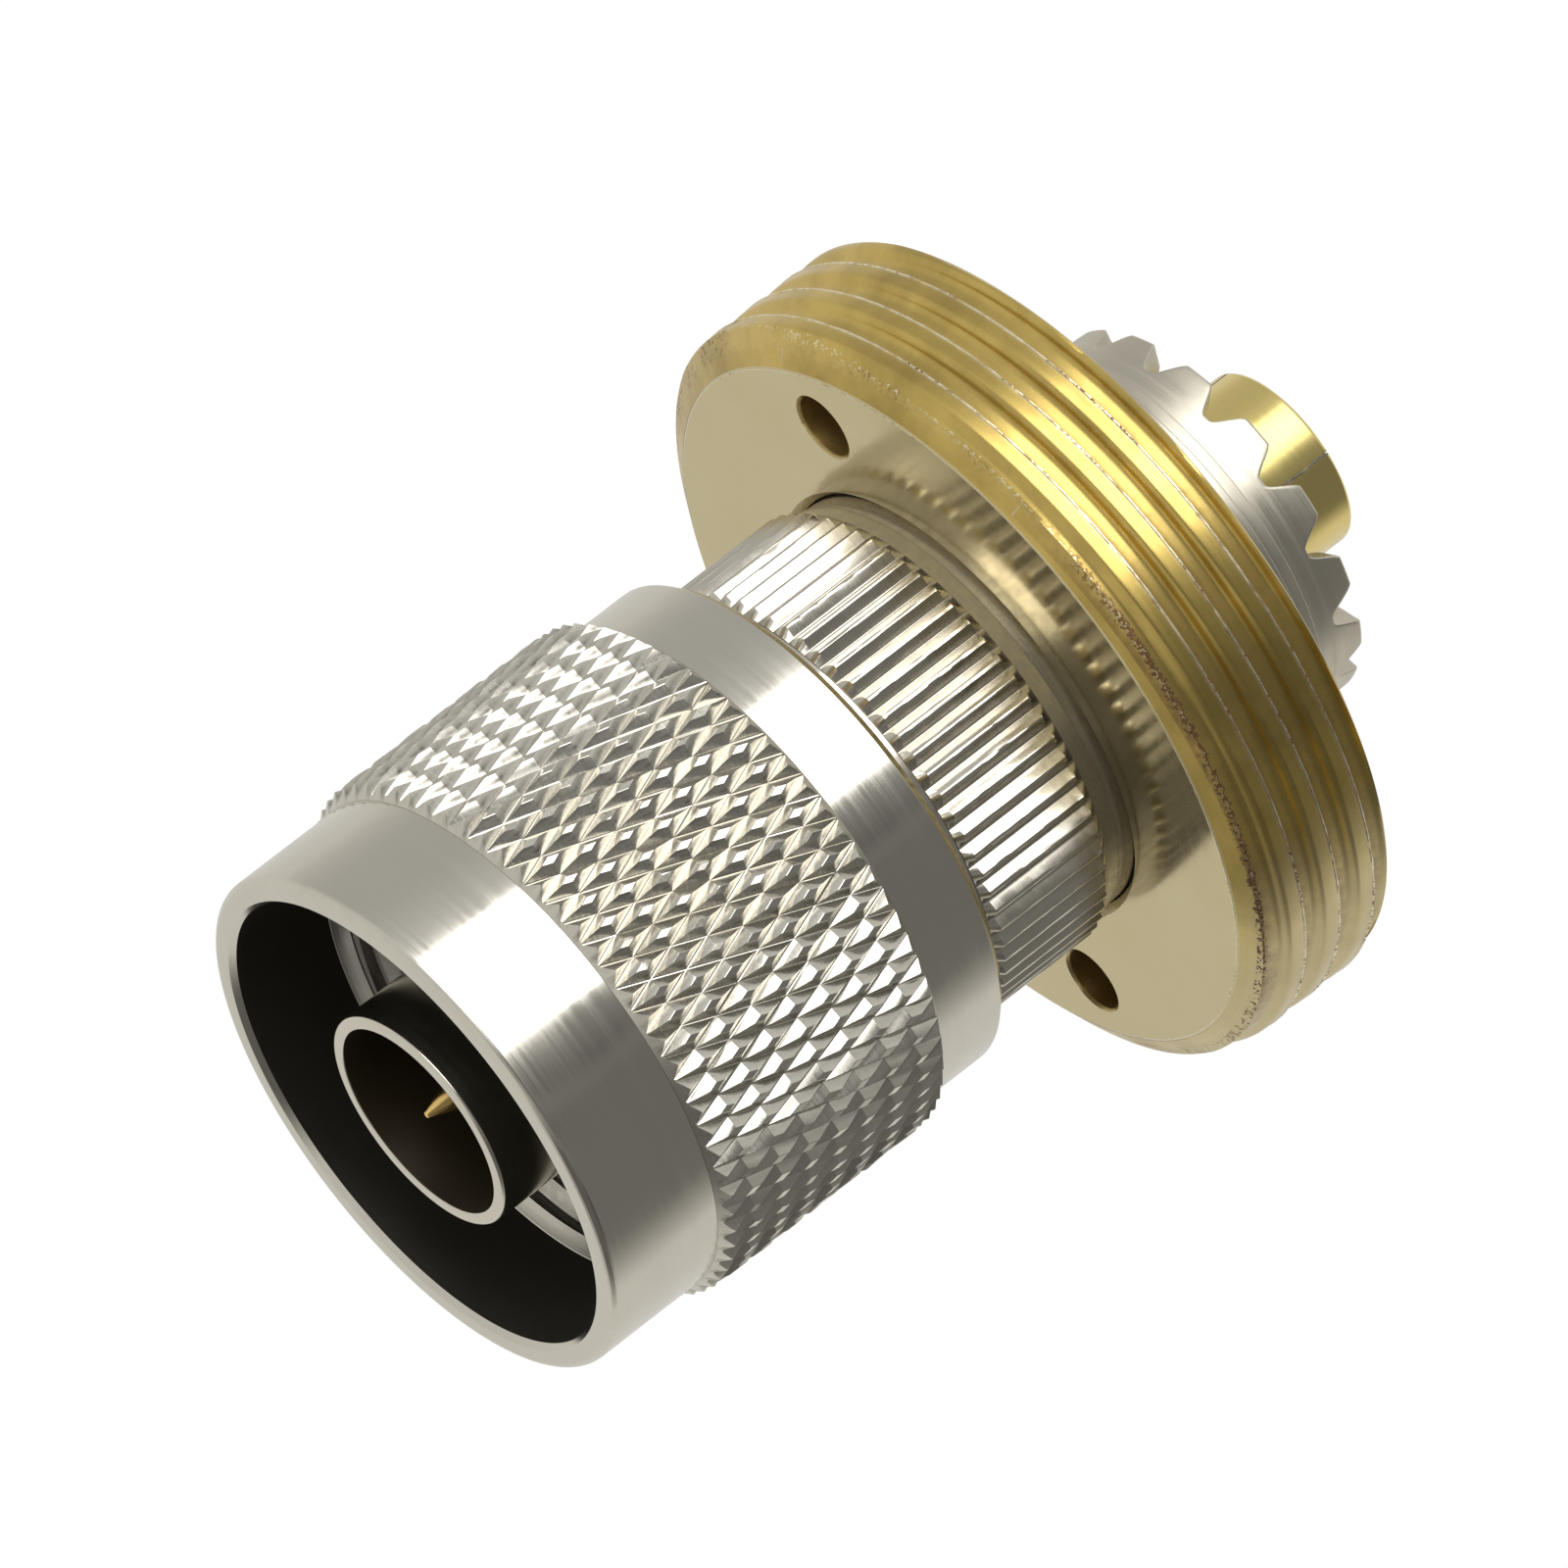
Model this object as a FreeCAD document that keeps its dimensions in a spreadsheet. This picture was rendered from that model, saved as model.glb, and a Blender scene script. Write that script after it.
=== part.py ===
import FreeCAD, Part
import math
import os

import Sketcher

# A coaxial adapter: a plug with a captive coupling nut in front, a loose brass ring
# with an outside thread in the middle, and a crown of teeth round a slotted gold
# contact behind. Millimetres. The origin is the centre of the brass ring's front
# face, the axis is Z, and +Z points towards the plug.

# Driving sizes. Radii are measured from the axis, heights up from the ring's front
# face, and depths down from it.
SIZES = {
    # brass ring
    "ring_thickness": 5.7,
    "ring_face_radius": 13.0,
    "ring_lead_radius": 13.65,
    "ring_lead_depth": 0.4,
    "thread_crest_radius": 14.25,
    "thread_root_radius": 13.55,
    "thread_pitch": 1.5,
    "thread_crest_width": 0.7,
    "thread_root_width": 0.1,
    "first_crest_depth": 1.27,
    "ring_tail_radius": 13.9,
    "ring_rear_radius": 13.5,
    "ring_rear_bevel": 0.2,
    "ring_bore_bevel": 0.28,
    "ring_clearance": 0.05,
    "ring_play": 0.1,
    "spanner_circle_radius": 10.95,
    "spanner_hole_radius": 1.15,
    "spanner_hole_depth": 3.6,
    "spanner_mouth_bevel": 0.1,
    "drill_point_depth": 0.6,
    "spanner_angle": 332.0,
    # plug body: neck, knurled collar, shank and ferrule
    "neck_radius": 7.95,
    "collar_foot_radius": 8.0,
    "collar_foot_height": 0.4,
    "collar_band_radius": 8.08,
    "collar_band_height": 1.0,
    "collar_bevel_height": 1.35,
    "collar_radius": 8.4,
    "collar_front": 6.0,
    "collar_front_bevel": 0.27,
    "ridge_depth": 0.3,
    "ridge_mouth_width": 0.7,
    "ridge_count": 68,
    "lip_radius": 8.05,
    "lip_height": 0.3,
    "shank_radius": 7.0,
    "shank_front": 14.5,
    "ferrule_radius": 4.03,
    "ferrule_bore_radius": 3.54,
    "ferrule_front": 23.44,
    "ferrule_round": 0.15,
    "line_bore_radius": 5.2,
    "front_insulator_front": 14.0,
    "front_insulator_length": 5.0,
    # spring ring that holds the nut
    "snap_ring_bottom": 10.0,
    "snap_ring_width": 0.9,
    "snap_ring_inner_radius": 6.45,
    "snap_ring_outer_radius": 7.6,
    "snap_ring_gap_angle": 24.0,
    "snap_ring_side_gap": 0.03,
    "snap_ring_inner_gap": 0.25,
    "snap_ring_outer_gap": 0.1,
    # coupling nut
    "nut_rear": 6.6,
    "nut_length": 17.1,
    "nut_float": 0.5,
    "nut_clearance": 0.08,
    "nut_bore_length": 6.0,
    "nut_relief_radius": 8.1,
    "nut_relief_length": 2.3,
    "nut_thread_radius": 7.42,
    "nut_lead_radius": 8.0,
    "nut_lead_depth": 0.25,
    "counterbore_radius": 8.5,
    "counterbore_depth": 4.0,
    "counterbore_step": 0.4,
    "nut_front_radius": 9.47,
    "nut_front_round": 0.45,
    "nut_front_band": 4.5,
    "nut_rear_radius": 9.33,
    "nut_rear_band": 2.9,
    "nut_rear_bevel": 0.23,
    "knurl_tip_radius": 9.93,
    "knurl_valley_radius": 9.6,
    "knurl_core_radius": 9.25,
    "knurl_overlap": 0.15,
    "knurl_starts": 68,
    "knurl_rows": 8,
    # gasket at the ferrule's foot
    "gasket_radius": 6.7,
    "gasket_thickness": 1.3,
    "gasket_clearance": 0.05,
    "gasket_round": 0.3,
    # rear body with its flange, steps and toothed crown
    "spigot_radius": 6.6,
    "spigot_length": 4.8,
    "flange_radius": 8.6,
    "flange_thickness": 1.5,
    "rear_step_radius": 7.6,
    "rear_step_depth": 8.7,
    "rear_land_radius": 7.4,
    "crown_root_depth": 9.2,
    "crown_tip_depth": 11.17,
    "crown_radius": 7.08,
    "crown_bore_radius": 6.0,
    "crown_teeth": 16,
    "notch_depth": 1.0,
    "notch_floor_width": 0.5,
    "notch_mouth_width": 1.65,
    "tooth_tip_round": 0.4,
    "notch_floor_round": 0.2,
    "crown_angle": 268.0,
    "rear_insulator_front": 6.0,
    "rear_insulator_length": 3.2,
    # slotted contact behind
    "sleeve_radius": 3.3,
    "sleeve_bore_radius": 2.9,
    "sleeve_end_depth": 14.3,
    "sleeve_floor_depth": 7.5,
    "sleeve_flange_radius": 3.9,
    "sleeve_flange_thickness": 1.0,
    "sleeve_edge_round": 0.12,
    "slot_width": 0.22,
    "slot_length": 5.6,
    "slot_count": 4,
    "slot_angle": 256.5,
    # centre pin
    "pin_tip_height": 23.07,
    "pin_tip_radius": 0.12,
    "pin_point_length": 1.9,
    "pin_slim_radius": 0.825,
    "pin_slim_end": 18.0,
    "pin_shoulder_length": 0.4,
    "pin_radius": 1.52,
    "pin_flange_radius": 2.2,
    "pin_flange_length": 0.8,
    "pin_tail_radius": 1.0,
}

# Heights and radii that follow from the driving sizes.
PLACES = {
    "ring_bore_radius": "sizes.neck_radius + sizes.ring_clearance",
    "neck_end": "-sizes.ring_thickness - sizes.ring_play",
    "flange_rear": "neck_end - sizes.flange_thickness",
    "spigot_front": "neck_end + sizes.spigot_length",
    "collar_bevel_top": "sizes.collar_front - sizes.collar_front_bevel",
    "lip_front": "sizes.collar_front + sizes.lip_height",
    "front_insulator_rear": "sizes.front_insulator_front - sizes.front_insulator_length",
    "body_groove_radius": "sizes.snap_ring_inner_radius - sizes.snap_ring_inner_gap",
    "body_groove_bottom": "sizes.snap_ring_bottom - sizes.snap_ring_side_gap",
    "snap_ring_top": "sizes.snap_ring_bottom + sizes.snap_ring_width",
    "body_groove_top": "snap_ring_top + sizes.nut_float + sizes.snap_ring_side_gap",
    "nut_groove_top": "snap_ring_top + sizes.snap_ring_side_gap",
    "nut_groove_radius": "sizes.snap_ring_outer_radius + sizes.snap_ring_outer_gap",
    "nut_bore_radius": "sizes.shank_radius + sizes.nut_clearance",
    "nut_front": "sizes.nut_rear + sizes.nut_length",
    "nut_bore_front": "sizes.nut_rear + sizes.nut_bore_length",
    "nut_thread_rear": "nut_bore_front + sizes.nut_relief_length",
    "counterbore_floor": "nut_front - sizes.counterbore_depth",
    "nut_lead_top": "counterbore_floor - sizes.counterbore_step",
    "nut_lead_bottom": "nut_lead_top - sizes.nut_lead_depth",
    "knurl_front": "nut_front - sizes.nut_front_band",
    "knurl_rear": "sizes.nut_rear + sizes.nut_rear_band",
    "gasket_inner_radius": "sizes.ferrule_radius + sizes.gasket_clearance",
    "gasket_front": "sizes.shank_front + sizes.gasket_thickness",
    "rear_insulator_rear": "-sizes.rear_insulator_front - sizes.rear_insulator_length",
    "sleeve_front": "-sizes.rear_insulator_front + sizes.sleeve_flange_thickness",
    "notch_floor": "-sizes.crown_tip_depth + sizes.notch_depth",
    "pin_point_end": "sizes.pin_tip_height - sizes.pin_point_length",
    "pin_shoulder_end": "sizes.pin_slim_end - sizes.pin_shoulder_length",
    "pin_flange_rear": "front_insulator_rear - sizes.pin_flange_length",
}

doc = FreeCAD.newDocument("coaxial_adapter")


def make_sheet(name, cells):
    """A sheet with one named cell a row."""
    sheet = doc.addObject("Spreadsheet::Sheet", name)
    for row, (alias, content) in enumerate(cells.items(), start=1):
        sheet.set("A%d" % row, alias)
        sheet.set("B%d" % row, content)
        sheet.setAlias("B%d" % row, alias)
    doc.recompute()
    return sheet


sizes = make_sheet("sizes", {alias: str(value) for alias, value in SIZES.items()})
places = make_sheet("places", {alias: "=" + rule for alias, rule in PLACES.items()})


def number(expression):
    """What an expression over the two sheets comes to."""
    return float(places.evalExpression(expression))


def origin_feature(body, role):
    """A plane or axis of the body's own origin."""
    return next(item for item in body.Origin.OriginFeatures if item.Role == role)


def new_body(label, angle="0"):
    """An empty body, turned about the axis by an angle in degrees."""
    body = doc.addObject("PartDesign::Body", label)
    body.setExpression("Placement.Rotation.Angle", angle)
    return body


def outline(body, name, corners, plane="XZ_Plane", height="0"):
    """A closed sketch of straight sides; each corner is a pair of expressions."""
    sketch = body.newObject("Sketcher::SketchObject", name)
    sketch.AttachmentSupport = (origin_feature(body, plane), [""])
    sketch.MapMode = "FlatFace"
    sketch.setExpression("AttachmentOffset.Base.z", height)
    points = [FreeCAD.Vector(number(across), number(up), 0) for across, up in corners]
    following = points[1:] + points[:1]
    sketch.addGeometry([Part.LineSegment(start, end) for start, end in zip(points, following)])
    count = len(points)
    rules = [Sketcher.Constraint("Coincident", side, 2, (side + 1) % count, 1) for side in range(count)]
    bound = []
    for side, (corner, point) in enumerate(zip(corners, points)):
        for kind, axis_id, expression, value in (
            ("DistanceX", -2, corner[0], point.x),
            ("DistanceY", -1, corner[1], point.y),
        ):
            if expression == "0":
                rules.append(Sketcher.Constraint("PointOnObject", side, 1, axis_id))
            else:
                bound.append((len(rules), expression))
                rules.append(Sketcher.Constraint(kind, side, 1, value))
    sketch.addConstraint(rules)
    for index, expression in bound:
        sketch.setExpression("Constraints[%d]" % index, expression)
    return sketch


def turned(label, corners, turn="360", angle="0"):
    """A body turned from one outline of (radius, height) corners."""
    body = new_body(label, angle)
    sketch = outline(body, label + "_outline", corners)
    solid = body.newObject("PartDesign::Revolution", label + "_turned")
    solid.Profile = sketch
    solid.ReferenceAxis = (sketch, ["V_Axis"])
    solid.setExpression("Angle", turn)
    sketch.Visibility = False
    doc.recompute()
    return body


def rims(feature, radius, height):
    """Names of the round edges of this radius at this height."""
    names = []
    for index, edge in enumerate(feature.Shape.Edges, start=1):
        curve = edge.Curve
        if isinstance(curve, Part.Circle) and abs(curve.Radius - number(radius)) < 1e-4:
            if abs(curve.Center.z - number(height)) < 1e-4:
                names.append("Edge%d" % index)
    return names


def round_edges(body, name, edges, radius):
    """A fillet on the body's last feature."""
    feature = body.newObject("PartDesign::Fillet", name)
    feature.Base = (body.Tip if body.Tip != feature else feature.BaseFeature, edges)
    feature.setExpression("Radius", radius)
    doc.recompute()
    return feature


def bevel_edges(body, name, edges, size):
    """An even chamfer on the body's last feature."""
    feature = body.newObject("PartDesign::Chamfer", name)
    feature.Base = (body.Tip if body.Tip != feature else feature.BaseFeature, edges)
    feature.setExpression("Size", size)
    doc.recompute()
    return feature


def cut_round(body, name, sketch, length, count, reverse=False):
    """Cuts the sketch into the body and repeats the cut round the axis."""
    pocket = body.newObject("PartDesign::Pocket", name)
    pocket.Profile = sketch
    pocket.setExpression("Length", length)
    pocket.Reversed = reverse
    sketch.Visibility = False
    doc.recompute()
    pattern = body.newObject("PartDesign::PolarPattern", name + "_round")
    pattern.Originals = [pocket]
    pattern.Axis = (origin_feature(body, "Z_Axis"), [""])
    pattern.Angle = 360
    pattern.setExpression("Occurrences", count)
    body.Tip = pattern
    doc.recompute()
    return pattern


def thread_corners():
    """The ring's outside thread in section, from its front bevel to its tail."""
    half_crest = "sizes.thread_crest_width / 2"
    half_root = "sizes.thread_root_width / 2"
    crests = int((number("sizes.ring_thickness") - number("sizes.first_crest_depth"))
                 / number("sizes.thread_pitch")) + 1
    corners = []
    for turn in range(crests):
        crest = "-sizes.first_crest_depth - %d * sizes.thread_pitch" % turn
        root = crest + " + sizes.thread_pitch / 2"
        if turn > 0:
            corners.append(("sizes.thread_root_radius", root + " + " + half_root))
        corners.append(("sizes.thread_root_radius", root + " - " + half_root))
        corners.append(("sizes.thread_crest_radius", crest + " + " + half_crest))
        corners.append(("sizes.thread_crest_radius", crest + " - " + half_crest))
    last_root = "-sizes.first_crest_depth - (%d - 0.5) * sizes.thread_pitch" % crests
    corners.append(("sizes.thread_root_radius", last_root))
    return corners


def make_threaded_ring():
    """The brass ring: outside thread, two blind spanner holes, a loose fit on the neck."""
    ring = turned("threaded_ring", [
        ("places.ring_bore_radius + sizes.ring_bore_bevel", "0"),
        ("sizes.ring_face_radius", "0"),
        ("sizes.ring_lead_radius", "-sizes.ring_lead_depth"),
        *thread_corners(),
        ("sizes.ring_tail_radius", "-sizes.ring_thickness + sizes.ring_rear_bevel"),
        ("sizes.ring_rear_radius", "-sizes.ring_thickness"),
        ("places.ring_bore_radius", "-sizes.ring_thickness"),
        ("places.ring_bore_radius", "-sizes.ring_bore_bevel"),
    ], angle="sizes.spanner_angle")
    hole = outline(ring, "spanner_hole", [
        ("sizes.spanner_circle_radius", "0"),
        ("sizes.spanner_circle_radius + sizes.spanner_hole_radius + sizes.spanner_mouth_bevel", "0"),
        ("sizes.spanner_circle_radius + sizes.spanner_hole_radius", "-sizes.spanner_mouth_bevel"),
        ("sizes.spanner_circle_radius + sizes.spanner_hole_radius", "-sizes.spanner_hole_depth"),
        ("sizes.spanner_circle_radius", "-sizes.spanner_hole_depth - sizes.drill_point_depth"),
    ])
    drilled = ring.newObject("PartDesign::Groove", "spanner_hole_drilled")
    drilled.Profile = hole
    drilled.ReferenceAxis = (hole, ["Edge5"])
    drilled.Angle = 360
    hole.Visibility = False
    doc.recompute()
    pair = ring.newObject("PartDesign::PolarPattern", "spanner_holes")
    pair.Originals = [drilled]
    pair.Axis = (origin_feature(ring, "Z_Axis"), [""])
    pair.Angle = 360
    pair.Occurrences = 2
    ring.Tip = pair
    doc.recompute()
    return ring


def make_plug_body():
    """Neck, straight-knurled collar, shank and ferrule, turned in one piece."""
    body = turned("plug_body", [
        ("sizes.ferrule_bore_radius", "sizes.ferrule_front"),
        ("sizes.ferrule_radius", "sizes.ferrule_front"),
        ("sizes.ferrule_radius", "sizes.shank_front"),
        ("sizes.shank_radius", "sizes.shank_front"),
        ("sizes.shank_radius", "places.body_groove_top"),
        ("places.body_groove_radius", "places.body_groove_top"),
        ("places.body_groove_radius", "places.body_groove_bottom"),
        ("sizes.shank_radius", "places.body_groove_bottom"),
        ("sizes.shank_radius", "places.lip_front"),
        ("sizes.lip_radius", "places.lip_front"),
        ("sizes.lip_radius", "sizes.collar_front"),
        ("sizes.collar_radius - sizes.collar_front_bevel", "sizes.collar_front"),
        ("sizes.collar_radius", "places.collar_bevel_top"),
        ("sizes.collar_radius", "sizes.collar_bevel_height"),
        ("sizes.collar_band_radius", "sizes.collar_band_height"),
        ("sizes.collar_foot_radius", "sizes.collar_foot_height"),
        ("sizes.neck_radius", "sizes.collar_foot_height"),
        ("sizes.neck_radius", "places.neck_end"),
        ("sizes.spigot_radius", "places.neck_end"),
        ("sizes.spigot_radius", "places.spigot_front"),
        ("sizes.line_bore_radius", "places.spigot_front"),
        ("sizes.line_bore_radius", "sizes.front_insulator_front"),
        ("sizes.ferrule_bore_radius", "sizes.front_insulator_front"),
    ])
    round_edges(body, "ferrule_rounded", rims(body, "sizes.ferrule_radius", "sizes.ferrule_front"),
                "sizes.ferrule_round")
    valley = "sizes.collar_radius - sizes.ridge_depth"
    groove = outline(body, "ridge_groove", [
        (valley, "0"),
        (valley + " + 2 * sizes.ridge_depth", "sizes.ridge_mouth_width"),
        (valley + " + 2 * sizes.ridge_depth", "-sizes.ridge_mouth_width"),
    ], plane="XY_Plane", height="sizes.collar_front")
    cut_round(body, "ridges", groove, "sizes.collar_front - sizes.collar_band_height",
              "sizes.ridge_count")
    return body


def make_snap_ring():
    """A split spring ring, carried by the nut's groove, with play in the shank's groove."""
    return turned("nut_snap_ring", [
        ("sizes.snap_ring_inner_radius", "sizes.snap_ring_bottom"),
        ("sizes.snap_ring_outer_radius", "sizes.snap_ring_bottom"),
        ("sizes.snap_ring_outer_radius", "places.snap_ring_top"),
        ("sizes.snap_ring_inner_radius", "places.snap_ring_top"),
    ], turn="360 - sizes.snap_ring_gap_angle")


def make_gasket():
    """A flat rubber ring at the ferrule's foot, which seals the mated pair."""
    gasket = turned("gasket", [
        ("places.gasket_inner_radius", "sizes.shank_front"),
        ("sizes.gasket_radius", "sizes.shank_front"),
        ("sizes.gasket_radius", "places.gasket_front"),
        ("places.gasket_inner_radius", "places.gasket_front"),
    ])
    round_edges(gasket, "gasket_rounded", rims(gasket, "sizes.gasket_radius", "places.gasket_front"),
                "sizes.gasket_round")
    return gasket


def knurl_point(column, row):
    """A corner of the diamond knurl: tips and groove crossings take turns."""
    radius = sizes.knurl_tip_radius if (column + row) % 2 == 0 else sizes.knurl_valley_radius
    turn = math.pi * column / sizes.knurl_starts
    row_height = (places.knurl_front - places.knurl_rear) / sizes.knurl_rows
    return FreeCAD.Vector(radius * math.cos(turn), radius * math.sin(turn),
                          places.knurl_rear + row * row_height)


def knurl_facets():
    """The flat facets of every pyramid, split along the grooves."""
    facets = []
    for row in range(int(sizes.knurl_rows)):
        for column in range(2 * int(sizes.knurl_starts)):
            near, far = knurl_point(column, row), knurl_point(column + 1, row)
            far_up, near_up = knurl_point(column + 1, row + 1), knurl_point(column, row + 1)
            if (column + row) % 2 == 0:
                triangles = (near, far, near_up), (far, far_up, near_up)
            else:
                triangles = (near, far, far_up), (near, far_up, near_up)
            for triangle in triangles:
                facets.append(Part.Face(Part.makePolygon([*triangle, triangle[0]])))
    return facets


def knurl_end(row, inner):
    """The flat end of the knurled band, from its inner circle to the zigzag rim."""
    rim = [knurl_point(column, row) for column in range(2 * int(sizes.knurl_starts))]
    centre = FreeCAD.Vector(0, 0, rim[0].z)
    circle = Part.Wire(Part.makeCircle(inner, centre))
    return Part.Face([Part.makePolygon([*rim, rim[0]]), circle], "Part::FaceMakerBullseye")


def make_coupling_nut():
    """The nut: a turned core, and a band of diamond knurl fused round it."""
    core = turned("nut_core", [
        ("sizes.counterbore_radius", "places.nut_front"),
        ("sizes.nut_front_radius", "places.nut_front"),
        ("sizes.nut_front_radius", "places.knurl_front"),
        ("sizes.knurl_core_radius", "places.knurl_front"),
        ("sizes.knurl_core_radius", "places.knurl_rear"),
        ("sizes.nut_rear_radius", "places.knurl_rear"),
        ("sizes.nut_rear_radius", "sizes.nut_rear"),
        ("places.nut_bore_radius", "sizes.nut_rear"),
        ("places.nut_bore_radius", "places.body_groove_bottom"),
        ("places.nut_groove_radius", "places.body_groove_bottom"),
        ("places.nut_groove_radius", "places.nut_groove_top"),
        ("places.nut_bore_radius", "places.nut_groove_top"),
        ("places.nut_bore_radius", "places.nut_bore_front"),
        ("sizes.nut_relief_radius", "places.nut_bore_front"),
        ("sizes.nut_relief_radius", "places.nut_thread_rear"),
        ("sizes.nut_thread_radius", "places.nut_thread_rear"),
        ("sizes.nut_thread_radius", "places.nut_lead_bottom"),
        ("sizes.nut_lead_radius", "places.nut_lead_top"),
        ("sizes.counterbore_radius", "places.counterbore_floor"),
    ])
    round_edges(core, "nut_front_rounded", rims(core, "sizes.nut_front_radius", "places.nut_front"),
                "sizes.nut_front_round")
    bevel_edges(core, "nut_rear_bevelled", rims(core, "sizes.nut_rear_radius", "sizes.nut_rear"),
                "sizes.nut_rear_bevel")
    inner = sizes.knurl_core_radius - sizes.knurl_overlap
    sleeve = Part.makeCylinder(inner, places.knurl_front - places.knurl_rear,
                               FreeCAD.Vector(0, 0, places.knurl_rear)).Faces[0]
    faces = [*knurl_facets(), knurl_end(0, inner), knurl_end(int(sizes.knurl_rows), inner), sleeve]
    shell = Part.makeShell(faces)
    shell.sewShape()
    band = doc.addObject("Part::Feature", "diamond_knurl")
    band.Shape = Part.Solid(Part.Shell(shell.Faces))
    nut = doc.addObject("Part::Fuse", "coupling_nut")
    nut.Base = core
    nut.Tool = band
    doc.recompute()
    return nut


def crown_edges(feature, height):
    """Names of the straight edges that run across the crown's wall at this height."""
    names = []
    for index, edge in enumerate(feature.Shape.Edges, start=1):
        ends = [vertex.Point for vertex in edge.Vertexes]
        if len(ends) == 2 and isinstance(edge.Curve, Part.Line):
            if all(abs(end.z - number(height)) < 1e-4 for end in ends):
                if abs(math.hypot(ends[0].x, ends[0].y) - math.hypot(ends[1].x, ends[1].y)) > 0.1:
                    names.append("Edge%d" % index)
    return names


def make_rear_body():
    """Spigot in the neck, flange behind the ring, steps, and the crown of rounded teeth."""
    body = turned("rear_body", [
        ("sizes.spigot_radius", "places.spigot_front"),
        ("sizes.spigot_radius", "places.neck_end"),
        ("sizes.flange_radius", "places.neck_end"),
        ("sizes.flange_radius", "places.flange_rear"),
        ("sizes.rear_step_radius", "places.flange_rear"),
        ("sizes.rear_step_radius", "-sizes.rear_step_depth"),
        ("sizes.rear_land_radius", "-sizes.rear_step_depth"),
        ("sizes.rear_land_radius", "-sizes.crown_root_depth"),
        ("sizes.crown_radius", "-sizes.crown_root_depth"),
        ("sizes.crown_radius", "-sizes.crown_tip_depth"),
        ("sizes.crown_bore_radius", "-sizes.crown_tip_depth"),
        ("sizes.crown_bore_radius", "-sizes.rear_insulator_front"),
        ("sizes.line_bore_radius", "-sizes.rear_insulator_front"),
        ("sizes.line_bore_radius", "places.spigot_front"),
    ], angle="sizes.crown_angle")
    notch = outline(body, "crown_notch", [
        ("sizes.notch_floor_width / 2", "places.notch_floor"),
        ("sizes.notch_mouth_width / 2", "-sizes.crown_tip_depth"),
        ("sizes.notch_mouth_width / 2", "-sizes.crown_tip_depth - sizes.notch_depth"),
        ("-sizes.notch_mouth_width / 2", "-sizes.crown_tip_depth - sizes.notch_depth"),
        ("-sizes.notch_mouth_width / 2", "-sizes.crown_tip_depth"),
        ("-sizes.notch_floor_width / 2", "places.notch_floor"),
    ], plane="YZ_Plane")
    cut_round(body, "crown_notches", notch, "2 * sizes.crown_radius", "sizes.crown_teeth", reverse=True)
    round_edges(body, "teeth_rounded", crown_edges(body, "-sizes.crown_tip_depth"),
                "sizes.tooth_tip_round")
    round_edges(body, "notches_rounded", crown_edges(body, "places.notch_floor"),
                "sizes.notch_floor_round")
    return body


def make_contact_sleeve():
    """The slotted gold contact: a shoulder against the insulator and a split socket."""
    sleeve = turned("contact_sleeve", [
        ("sizes.pin_tail_radius", "places.sleeve_front"),
        ("sizes.sleeve_flange_radius", "places.sleeve_front"),
        ("sizes.sleeve_flange_radius", "-sizes.rear_insulator_front"),
        ("sizes.sleeve_radius", "-sizes.rear_insulator_front"),
        ("sizes.sleeve_radius", "-sizes.sleeve_end_depth"),
        ("sizes.sleeve_bore_radius", "-sizes.sleeve_end_depth"),
        ("sizes.sleeve_bore_radius", "-sizes.sleeve_floor_depth"),
        ("sizes.pin_tail_radius", "-sizes.sleeve_floor_depth"),
    ], angle="sizes.slot_angle")
    round_edges(sleeve, "sleeve_rounded", rims(sleeve, "sizes.sleeve_radius", "-sizes.sleeve_end_depth"),
                "sizes.sleeve_edge_round")
    slot = outline(sleeve, "slot", [
        ("sizes.slot_width / 2", "-sizes.sleeve_end_depth - sizes.slot_width"),
        ("sizes.slot_width / 2", "-sizes.sleeve_end_depth + sizes.slot_length"),
        ("-sizes.slot_width / 2", "-sizes.sleeve_end_depth + sizes.slot_length"),
        ("-sizes.slot_width / 2", "-sizes.sleeve_end_depth - sizes.slot_width"),
    ], plane="YZ_Plane")
    cut_round(sleeve, "slots", slot, "2 * sizes.sleeve_radius", "sizes.slot_count", reverse=True)
    return sleeve


def make_inner_pieces():
    """The two insulators, and the pin that runs through them."""
    front = turned("front_insulator", [
        ("sizes.pin_radius", "sizes.front_insulator_front"),
        ("sizes.line_bore_radius", "sizes.front_insulator_front"),
        ("sizes.line_bore_radius", "places.front_insulator_rear"),
        ("sizes.pin_radius", "places.front_insulator_rear"),
    ])
    rear = turned("rear_insulator", [
        ("sizes.sleeve_radius", "-sizes.rear_insulator_front"),
        ("sizes.crown_bore_radius", "-sizes.rear_insulator_front"),
        ("sizes.crown_bore_radius", "places.rear_insulator_rear"),
        ("sizes.sleeve_radius", "places.rear_insulator_rear"),
    ])
    pin = turned("centre_pin", [
        ("0", "sizes.pin_tip_height"),
        ("sizes.pin_tip_radius", "sizes.pin_tip_height"),
        ("sizes.pin_slim_radius", "places.pin_point_end"),
        ("sizes.pin_slim_radius", "sizes.pin_slim_end"),
        ("sizes.pin_radius", "places.pin_shoulder_end"),
        ("sizes.pin_radius", "places.front_insulator_rear"),
        ("sizes.pin_flange_radius", "places.front_insulator_rear"),
        ("sizes.pin_flange_radius", "places.pin_flange_rear"),
        ("sizes.pin_radius", "places.pin_flange_rear"),
        ("sizes.pin_radius", "places.sleeve_front"),
        ("sizes.pin_tail_radius", "places.sleeve_front"),
        ("sizes.pin_tail_radius", "-sizes.sleeve_floor_depth"),
        ("0", "-sizes.sleeve_floor_depth"),
    ])
    return [front, rear, pin]


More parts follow.
